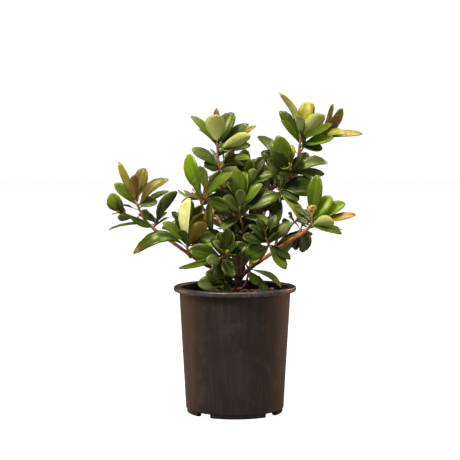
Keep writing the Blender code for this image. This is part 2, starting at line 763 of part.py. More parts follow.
def dealt_leaves(route, dealt, chance):
    """Leaves round the shoot by the golden angle, opening wider towards its foot."""
    count, length, bearing, lean = dealt
    favoured = aimed(bearing, lean) * DEALT_FAVOUR
    widest, narrowest = DEALT_OPENINGS
    first = chance.uniform(0, 2 * math.pi)
    for number in range(count):
        share = (number + 0.5) / count
        root, axis = root_at(route, share, DEALT_SPREAD)
        waver = chance.uniform(-DEALT_WAVER, DEALT_WAVER)
        opening = math.radians(widest + (narrowest - widest) * share + waver)
        sideways = axis.orthogonal().normalized()
        around = Matrix.Rotation(first + number * GOLDEN_ANGLE, 3, axis) @ sideways
        direction = (axis * math.cos(opening) + around * math.sin(opening) + favoured).normalized()
        long = length * chance.uniform(*DEALT_LENGTHS) * MM
        wide = long * chance.uniform(*DEALT_WIDTHS)
        yield root, direction, upper_side(direction, axis, 0), long, wide, LEAF_BOW


def aimed_leaves(route, aims):
    for number, (bearing, lean, length, width, face, *bow) in enumerate(aims):
        root, axis = root_at(route, (number + 0.5) / len(aims), ROOT_SPACING * len(aims))
        direction = aimed(bearing, lean)
        side = upper_side(direction, axis, face)
        yield root, direction, side, length * MM, LEAF_BROAD * width * MM, bow[0] if bow else LEAF_BOW


def settled(leaf, *tests):
    """The leaf, nudged aside or drawn in a little where it would not fit, or None."""
    root, direction, side, length, width, bow = leaf
    sideways = direction.cross(side)
    for share in LEAF_TRIES:
        for nudge in NUDGES:
            for way in (side, -side, sideways, -sideways)[: 4 if nudge else 1]:
                aim = (direction + way * nudge).normalized()
                up = (side - aim * side.dot(aim)).normalized()
                tried = (root, aim, up, length * share, width * share, bow)
                if fits(tried, *tests):
                    return tried
    return None


def stem_start(spec, limbs):
    """Where a mass's stem starts, 0.3 mm clear of its limb, its direction and its radius."""
    route, radii = limbs[spec["bough"]]
    if "leaves_at" in spec:
        start = Vector(spec["leaves_at"]) * MM
        middle = Vector((route[2].x, route[2].y, start.z))
        return start, (start - middle).normalized(), SIDE_STEM_RADIUS
    heading = directions_along(route)[-1]
    return route[-1] + heading * GAP, heading, radii[-1]


def grow_shoots(spec, limbs):
    """The routes and radii of a mass's stem and of the side shoots that fork from it."""
    start, heading, radius = stem_start(spec, limbs)
    shoots = []
    for shoot in spec["shoots"]:
        tip = Vector(shoot["tip"]) * MM
        if shoots:
            fork, along = at_share(shoots[0][0], shoot["fork"])
            route = shoot_route(fork, along, tip)
            radius = SIDE_SHOOT_RADIUS
        else:
            route = shoot_route(start, heading, tip)
        shoots.append((route, tapering(radius, SHOOT_TIP_RADIUS, len(route))))
    return shoots


def grow_leaves(name, limbs, all_shoots, stands):
    """The leaves of a mass that fit, aimed ones first."""
    spec = MASSES[name]
    chance = random.Random(name)
    others = [limb for key, limb in limbs.items() if key != spec["bough"]]
    others += [shoot for other, shoots in all_shoots.items() if other != name for shoot in shoots]
    leaves = []
    own = []
    for shoot, (route, _) in zip(spec["shoots"], all_shoots[name]):
        wanted = [*aimed_leaves(route, shoot["aims"]), *dealt_leaves(route, shoot["dealt"], chance)]
        for leaf in wanted:
            leaf = settled(leaf, name, others, stands, own)
            if leaf and limb_distance(leaf_samples(leaf), 0, limbs[spec["bough"]]) > GAP:
                leaves.append(leaf)
                own.append(leaf_tree(leaf, blade=True))
    stands[name] = [leaf_tree(leaf) for leaf in leaves]
    return leaves


def joined(name, shapes, parts):
    """One solid of the shapes: a union, with sealed hollows filled and loose scraps dropped."""
    first, *others = [new_object(f"{name}_{number}", bm, parts) for number, bm in enumerate(shapes)]
    group = bpy.data.collections.new(name + " pieces")
    for other in others:
        group.objects.link(other)
    modifier = first.modifiers.new("union", "BOOLEAN")
    modifier.operation = "UNION"
    modifier.operand_type = "COLLECTION"
    modifier.collection = group
    for modifier.solver in ("EXACT", "MANIFOLD"):
        bm = as_evaluated(first)
        if all(edge.is_manifold for edge in bm.edges):
            break
    for obj in [first, *others]:
        bpy.data.objects.remove(obj, do_unlink=True)
    bpy.data.collections.remove(group)
    return new_object(name, bm, parts)


def as_evaluated(obj):
    """The object's largest shell with its modifiers applied, its near points welded."""
    bpy.context.view_layer.update()
    bm = bmesh.new()
    bm.from_object(obj, bpy.context.evaluated_depsgraph_get())
    bmesh.ops.remove_doubles(bm, verts=bm.verts, dist=SEAM)
    bmesh.ops.triangulate(bm, faces=bm.faces)
    keep_largest_shell(bm)
    return bm


def keep_largest_shell(bm):
    unseen = set(bm.faces)
    shells = []
    while unseen:
        shell = [unseen.pop()]
        for face in shell:
            for edge in face.edges:
                for near in edge.link_faces:
                    if near in unseen:
                        unseen.remove(near)
                        shell.append(near)
        volume = sum(face.verts[0].co.dot(face.verts[1].co.cross(face.verts[2].co)) for face in shell) / 6
        shells.append((volume, shell))
    shells.sort(key=lambda pair: pair[0])
    for _, shell in shells[:-1]:
        bmesh.ops.delete(bm, geom=shell, context="FACES")


def make_mass(name, shoots, leaves, parts):
    shapes = [tube(route, radii, TWIG_SIDES) for route, radii in shoots]
    shapes += [leaf_mesh(leaf) for leaf in leaves]
    mass = joined(name, shapes, parts)
    mass.data.materials.append(material("leaves of " + name, LEAF_GREEN, 0.42))
    return mass


def main():
    clear_scene()
    parts = new_collection("indian hawthorn shrub in a nursery pot")
    cutters = new_collection("cutters", hidden=True)
    make_pot(parts, cutters)
    make_soil(parts)
    limbs = limb_shapes()
    make_limbs(limbs, parts, cutters)
    all_shoots = {name: grow_shoots(spec, limbs) for name, spec in MASSES.items()}
    stands = {}
    for name in MASSES:
        leaves = grow_leaves(name, limbs, all_shoots, stands)
        make_mass(name, all_shoots[name], leaves, parts)


main()
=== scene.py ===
"""Looks of the indian hawthorn shrub in its black nursery pot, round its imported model.

Limbs, shoots and leaves follow the same tables and the same seeded rule as the solids, and are
carried on here to smooth blades with ribs and margins, young leaves, buds and bark.
"""

import math
import random

import bmesh
import bpy
import numpy as np
from mathutils import Euler, Matrix, Vector, noise
from mathutils.bvhtree import BVHTree


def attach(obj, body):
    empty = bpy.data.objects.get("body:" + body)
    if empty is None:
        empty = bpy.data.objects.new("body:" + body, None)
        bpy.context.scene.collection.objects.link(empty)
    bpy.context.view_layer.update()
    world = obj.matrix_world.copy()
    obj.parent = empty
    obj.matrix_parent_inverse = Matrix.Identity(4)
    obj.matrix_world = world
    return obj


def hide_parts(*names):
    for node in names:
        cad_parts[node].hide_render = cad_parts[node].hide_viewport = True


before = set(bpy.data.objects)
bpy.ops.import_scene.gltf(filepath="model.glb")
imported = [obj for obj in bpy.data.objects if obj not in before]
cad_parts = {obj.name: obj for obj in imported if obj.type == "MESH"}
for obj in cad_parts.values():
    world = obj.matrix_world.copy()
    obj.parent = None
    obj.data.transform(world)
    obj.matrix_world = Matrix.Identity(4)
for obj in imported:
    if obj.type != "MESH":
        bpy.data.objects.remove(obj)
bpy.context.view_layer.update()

MM = 0.001
GAP = 0.3 * MM

# Pot: a one gallon nursery pot with a rolled rim, a stepped foot and four drain notches
RIM_RADIUS = 82.3 * MM
RIM_TOP = 170.4 * MM
RIM_ROLL = 6.4 * MM
RIM_ROUND = 2.4 * MM
LIP_ROUND = 1.6 * MM
BRIM_ROUND = 1.2 * MM
RIM_WAVER = 0.003
BODY_TOP_RADIUS = 74.9 * MM
BODY_FOOT_RADIUS = 65.9 * MM
STEP_HEIGHT = 7.0 * MM
STEP_IN = 1.4 * MM
STEP_ROUND = 0.9 * MM
FOOT_ROUND = 2.0 * MM
FOOT_RIM = 7 * MM
WALL = 2.0 * MM
WALL_ROWS = 10
FLOOR = 8.5 * MM
POT_TURNS = 128
SHARP_ANGLE = math.radians(38)

# Its notches, cut wider here than in the solid by NOTCH_SHARE, and a drain hole behind each
NOTCHES = 4
NOTCH_FIRST = math.radians(49.5)
NOTCH_WIDTH = 15.0 * MM
NOTCH_SHARE = 1.5
NOTCH_HEIGHT = 5.6 * MM
NOTCH_DEPTH = 11.0 * MM
NOTCH_ROUND = 1.2 * MM
DRAIN_RADIUS = 4.0 * MM
CUT_PAST = 4.0 * MM

# Patches of colour on wall, rim and the spotted leaf: their scale, where their clouds start and
# end, and the colour. The streaks down the wall have their squeeze along the height as well.
POT_SCUFFS = ((34, 0.56, 0.90, (0.040, 0.041, 0.046)), (420, 0.68, 0.82, (0.065, 0.062, 0.060)))
POT_STREAKS = (150, 0.06, 0.48, 0.70, (0.026, 0.018, 0.015))
# The rim's grey patches below are partly wear and partly painted sheen.
RIM_RUBS_AND_SHEEN = ((150, 0.52, 0.78, (0.125, 0.095, 0.084)),)
RED_SPOTS = ((170, 0.56, 0.62, (0.150, 0.026, 0.014)), (420, 0.64, 0.70, (0.090, 0.018, 0.010)))

# Soil: fills the pot to a little under the rim, with a low heap and bark chips, in millimetres.
# Its lumps have their scale, the layer of noise that they are read from, and their height. A chip's
# shape is its width and height as shares of its length, and its finish is picked from CHIP_MIX.
SOIL_TOP = 157.0 * MM
GROUND = SOIL_TOP + GAP
SOIL_RINGS = 34
SOIL_TURNS = 110
SOIL_EDGE = 4 * MM
SOIL_LUMPS = ((55, 0, 1.6), (190, 0.3, 1.1), (520, 0.7, 0.6))
SOIL_SUNK = 0.6
HEAP_MIDDLE = (38, 12)
HEAP_REACH = 30
HEAP_HEIGHT = 7.5
CHIPS = 420
CHIP_LENGTHS = (3, 11)
CHIP_SHAPE = ((0.3, 0.6), (0.12, 0.25))
CHIP_ROUGH = 0.09
CHIP_TILT = 0.25
CHIP_LIFT = 0.4
CHIP_MIX = (0, 0, 1, 1, 2)
CHIPS_IN = 5 * MM
CHIP_TONES = dict(dark=(0.050, 0.027, 0.016), red=(0.240, 0.085, 0.032), tan=(0.330, 0.190, 0.100))

# Limbs: rings to each stretch between two route points, the trunk's flare, and thin stems
RINGS_PER_STRETCH = 2
FLARE_RADIUS = 8.0 * MM
FLARE_HEIGHT = 9.0 * MM
FLARE_FADE = 3
STEM_START = 1.5 * MM
STEM_BEND = 0.5
SIDE_STEM_RADIUS = 1.7 * MM
SIDE_SHOOT_RADIUS = 1.6 * MM
SHOOT_TIP_RADIUS = 1.3 * MM
BUD_LENGTH = 3.2 * MM
BUD_BEYOND = 0.3
BUD_POINTED = 2.4

# Bark: the sides of each kind of stem, how far apart its rings and its leaf scars lie, its ripples
# a metre, and the height of ripples and scars as a share of the radius
TRUNK_SIDES = 22
BOUGH_SIDES = 14
SHOOT_SIDES = 9
LIMB_STEP = 1.2 * MM
SHOOT_STEP = 1.0 * MM
LIMB_SCARS = 11 * MM
SHOOT_SCARS = 6 * MM
STEM_SHARE = 1.08
STEM_SMOOTHED = 2
BARK_RIPPLES = 420
RIPPLES_APART = 9
RIPPLE_SQUEEZE = 0.4
BARK_RELIEF = 0.16
SCAR_SWELL = 0.14
SCAR_WIDTH = 0.8 * MM

# How far out from the foot of the trunk the bark turns from dark to red: height counts less
YOUNG_BARK_FROM = (0.026, 0.052)
TRUNK_FOOT = 0.160
HEIGHT_COUNTS = 0.3

# Leaves: leathery, widest beyond the middle, bowed along and folded a little at the midrib
LEAF_STATIONS = (0.17, 0.52, 0.85)
LEAF_WIDTHS = (0.16, 0.98, 0.78)
LEAF_BROAD = 1.15
LEAF_THICK = 0.020
LEAF_FOLD = math.radians(16)
LEAF_BOW = 0.12
DEALT_WIDTHS = (0.40, 0.50)
DEALT_LENGTHS = (0.78, 1.06)
DEALT_OPENINGS = (95, 40)
DEALT_WAVER = 10
DEALT_FAVOUR = 0.55
DEALT_SPREAD = 30 * MM
ROOT_SPACING = 1.8 * MM
FIRST_ROOT = 3.0 * MM
GOLDEN_ANGLE = math.radians(137.5)

# What a leaf keeps clear of, and how it may be drawn in or nudged to do so
LIMB_CLEAR = 1.1 * MM
LET_OUT = 14.0 * MM
SWELL = 1.0 * MM
SOIL_CLEAR = 1.5 * MM
RIM_CLEAR = 1.5 * MM
LEAF_TRIES = (1, 0.9, 0.8)
NUDGES = (0, 0.14, 0.28)
LEAF_SAMPLES = (15, 7)
VIEWER = Vector((0, -1, 0))

# Blades: how far along each row of the mesh lies, the half width there, the columns across, the
# stalk, and how fold, wave, curl and twist vary from leaf to leaf
BLADE_ROWS = (0, 0.10, 0.22, 0.38, 0.56, 0.74, 0.90, 1)
BLADE_WIDTHS = (0, 0.07, 0.36, 0.78, 0.99, 0.98, 0.70, 0.20)
BLADE_COLUMNS = 4
BLADE_LAYERS = ("along", "across", "through")
BLADE_THICK = 0.28 * MM
STALK = 0.12
STALK_RADIUS = 0.6 * MM
FOLDS = (0.5, 1.7)
WAVE = (0.3, 1.2)
WAVES = 3
WAVE_RISE = 4
EDGE_THINNED = 0.5
CURL_FROM = 0.7
TIP_CURL = (-0.15, 0.6)
TWIST = 14
VEIN_LINES = {"Veins": 9, "Slant": 0.22, "Rib Width": 0.075, "Margin Start": 0.88}

# Small leaves: their opening from the stem in degrees, their length in millimetres, their width as
# a share of it and their bow. Young ones close each shoot, and dark ones, their darkness painted
# shade, fill the crown's inside.
YOUNG_COUNT = 4
YOUNG_SPACING = 0.01
YOUNG_LEAF = ((12, 36), (9, 20), 0.34, 0.3)
INNER_LEAF = ((40, 80), (18, 34), 0.42, 0.2)
INNER_FROM = 0.25
INNER_FRONT = 0.3
INNER_LEAVES = {
    "bough_back_low": 22, "bough_centre": 16, "bough_left_leader": 8, "bough_right_leader": 8,
    "bough_back_left": 10, "bough_back_right": 10, "bough_back_high": 12,
}

# Leaf tints: the upper side, the underside, the rib and the margin, as base colours, then what
# they are multiplied by for the light clouds, the dark ones and the tip, and how strong veins are
TINTS = {
    # k, the darkest tint, is partly the deep green of old leaves and partly painted shade for
    # leaves deep in the crown.
    "k": ("dark", (0.014, 0.027, 0.003), (0.075, 0.100, 0.022),
          (0.055, 0.080, 0.012), (0.040, 0.034, 0.006)),
    "d": ("deep", (0.025, 0.048, 0.004), (0.105, 0.130, 0.026),
          (0.090, 0.125, 0.018), (0.060, 0.048, 0.008)),
    "m": ("mid", (0.052, 0.094, 0.004), (0.17, 0.21, 0.040),
          (0.130, 0.175, 0.022), (0.105, 0.085, 0.010)),
    "b": ("bright", (0.078, 0.155, 0.002), (0.28, 0.34, 0.06),
          (0.19, 0.27, 0.03), (0.160, 0.165, 0.010)),
    "o": ("olive", (0.165, 0.195, 0.022), (0.40, 0.46, 0.13),
          (0.28, 0.32, 0.05), (0.250, 0.175, 0.035)),
    "g": ("grey", (0.066, 0.100, 0.024), (0.19, 0.23, 0.07),
          (0.12, 0.16, 0.045), (0.095, 0.075, 0.025)),
    "z": ("bronze", (0.078, 0.070, 0.010), (0.135, 0.110, 0.030),
          (0.15, 0.13, 0.03), (0.130, 0.040, 0.014)),
    "r": ("maroon", (0.085, 0.040, 0.012), (0.19, 0.105, 0.035),
          (0.21, 0.088, 0.03), (0.110, 0.025, 0.010)),
    "c": ("ochre", (0.170, 0.120, 0.010), (0.27, 0.20, 0.04),
          (0.21, 0.155, 0.03), (0.220, 0.100, 0.015)),
    "y": ("cream", (0.760, 0.720, 0.280), (0.68, 0.68, 0.28),
          (0.42, 0.50, 0.10), (0.160, 0.270, 0.010)),
    "t": ("tan", (0.175, 0.150, 0.020), (0.29, 0.25, 0.06),
          (0.22, 0.19, 0.04), (0.230, 0.105, 0.020)),
    "s": ("spotted", (0.620, 0.500, 0.150), (0.62, 0.50, 0.15),
          (0.48, 0.40, 0.09), (0.300, 0.060, 0.030)),
}
SHEEN = (1, 0.97, 0.45, 1)
FACE_SHADES = (1.3, 0.5)
BACK_SHADES = (1.15, 0.75)
FACE_TIP = (2.1, 1.5, 1.2)
BACK_TIP = (1.35, 1.2, 1.0)
FACE_VEINS = 0.12
BACK_VEINS = 0.2
PALEST = 0.85

# The tint of each aimed leaf, shoot by shoot, and what the dealt, young and inner ones are picked
# from: the older of the dealt ones, up to OLD_SHARE of them, darker partly as painted shade, and
# the younger. The inner ones' dark tints are painted shade.
AIM_TINTS = {
    "leaves_upper_left": ("coddmdor", "gkgmzr"),
    "leaves_centre": ("gmggdmbm", "dkdmkk", "kkdkzmb"),
    "leaves_upper_right": ("dbmmdozoo", "tozmm", "dkgdddmo"),
    "leaves_mid_right": ("okkdkm",),
    "leaves_right": ("mocbbms",),
    "leaves_right_low": ("kmkk",),
    "leaves_far_left": ("dzmgozr", "dbd", "mdk"),
    "leaves_left_inner": ("dycbmdkkd",),
    "leaves_front_left": ("mkkdkd",),
    "leaves_front_right": ("dmkkdkk",),
    "leaves_low_left": ("gddk",),
    "leaves_low_right": ("mdg",),
}
DEALT_TINTS = ("kkkddddg", "kddmmgbo")
OLD_SHARE = 0.55
YOUNG_TINTS = "zrotb"
INNER_SHADE_TINTS = "kkkd"

# Camera: the photograph's place and scale, in metres, and its frame in pixels
CAMERA_AWAY = 2.4
CAMERA_ASIDE = -0.0065
CAMERA_HEIGHT = 0.4367
CAMERA_PITCH = math.radians(4.55)
SENSOR_WIDTH = 36
MM_A_PIXEL = 1.337
PHOTO_WIDTH = 460

# Stage: a white surround for the camera's eye, dim where it lights the object, and soft lamps, each
# with its place, size, strength in watts and colour
WHITE = (1, 1, 1, 1)
BACKDROP_BRIGHT = 1.05
AMBIENT = 0.045
FLOOR_REACH = 6
FLOOR_GREY = (0.25, 0.25, 0.25, 1)
FLOOR_BRIGHT = 0.95
LIT_POINT = Vector((0, 0, 0.25))
LIGHTS = (
    ("key", (-1.4, -1.5, 2.8), 1.0, 186, (1, 0.97, 0.90)),
    ("fill", (2.0, -2.2, 1.5), 1.2, 30, (1, 0.96, 0.90)),
    ("top", (0.3, 0.3, 2.8), 1.2, 72, (1, 0.98, 0.94)),
    ("rim", (1.6, 2.0, 1.4), 1.0, 24, (1, 0.95, 0.86)),
    ("warm left", (-2.2, 1.0, 0.2), 0.9, 26, (1, 0.46, 0.16)),
    ("warm right", (2.2, 1.0, 0.2), 0.9, 22, (1, 0.46, 0.16)),
)

# Each limb: its thickness at its start and its end, and its route, in millimetres
TRUNK = dict(
    thick=9.6, thin=7.6, route=((0, 0, GROUND / MM), (1.5, 0, 166), (4.5, 0, 176), (7, 0, 185))
)
BOUGHS = {
    "bough_left_leader": dict(thick=5.2, thin=4.0, route=(
        (5, 0, 178), (4, 3, 198), (4, 6, 220), (-3, 10, 245), (-13, 12, 278), (-18, 11, 300),
        (-20, 10.5, 316))),
    "bough_right_leader": dict(thick=5.6, thin=4.2, route=(
        (8, 0, 180), (11, -3, 200), (11.5, -3, 220), (14, 0, 244), (22, 5, 269), (46, 14, 299),
        (57, 17, 304))),
    "bough_lower_left": dict(thick=5.4, thin=4.0, route=(
        (2.5, 0, 168), (-6, -3, 178), (-17, -6, 189), (-39, -11, 200), (-59, -15, 213),
        (-78, -18, 227), (-104, -22, 246))),
    "bough_lower_right": dict(thick=5.6, thin=4.0, route=(
        (6, 0, 180), (14, -6, 189), (25.5, -9, 199), (49.5, -16, 216), (71, -21, 232),
        (88, -25, 242), (97, -27, 250))),
    "bough_centre": dict(thick=4.0, thin=3.4, route=(
        (12.2, -2.4, 230), (12.5, -7, 238), (11, -9, 248), (9, -9, 256))),
    "bough_mid_right": dict(thick=3.6, thin=3.0, route=(
        (50, -16, 216.5), (56, -10, 232), (58, -5, 250), (58.5, -3, 264), (60, 0, 280))),
    "bough_left_inner": dict(thick=3.8, thin=3.4, route=(
        (-59, -15, 210), (-61.5, -19, 215), (-62.5, -21, 219))),
    "bough_right_low": dict(thick=3.2, thin=2.8, route=(
        (78, -22.5, 237), (82, -15, 239), (85, -9, 242))),
    "bough_front_left": dict(thick=3.6, thin=2.6, route=(
        (-16, -5.8, 188.5), (-19, -18, 196), (-20, -32, 204), (-18, -45, 210))),
    "bough_front_right": dict(thick=3.6, thin=2.6, route=(
        (27, -9.5, 200.5), (33, -20, 208), (40, -34, 219), (43, -44, 226))),
    "bough_back_left": dict(thick=4.2, thin=2.6, route=(
        (4, 4.5, 210), (-3, 20, 224), (-16, 43, 246), (-31, 64, 270), (-38, 73, 284))),
    "bough_back_right": dict(thick=4.2, thin=2.6, route=(
        (11.4, -3, 212), (20, 18, 226), (33, 42, 248), (44, 64, 272), (48, 73, 286))),
    "bough_back_high": dict(thick=3.6, thin=2.6, route=(
        (20, 4, 264), (21, 16, 280), (18, 34, 298), (14, 48, 314))),
    "bough_side_left": dict(thick=3.6, thin=2.6, route=(
        (-38, -10.6, 198), (-46, 6, 210), (-58, 26, 226), (-65, 37, 238))),
    "bough_side_right": dict(thick=3.6, thin=2.6, route=(
        (47, -15, 214.5), (56, 2, 224), (68, 24, 236), (75, 36, 246))),
    "bough_back_low": dict(thick=4.2, thin=2.6, route=(
        (3, 0.5, 172), (3, 16, 184), (0, 40, 200), (-4, 62, 216), (-6, 74, 228))),
}

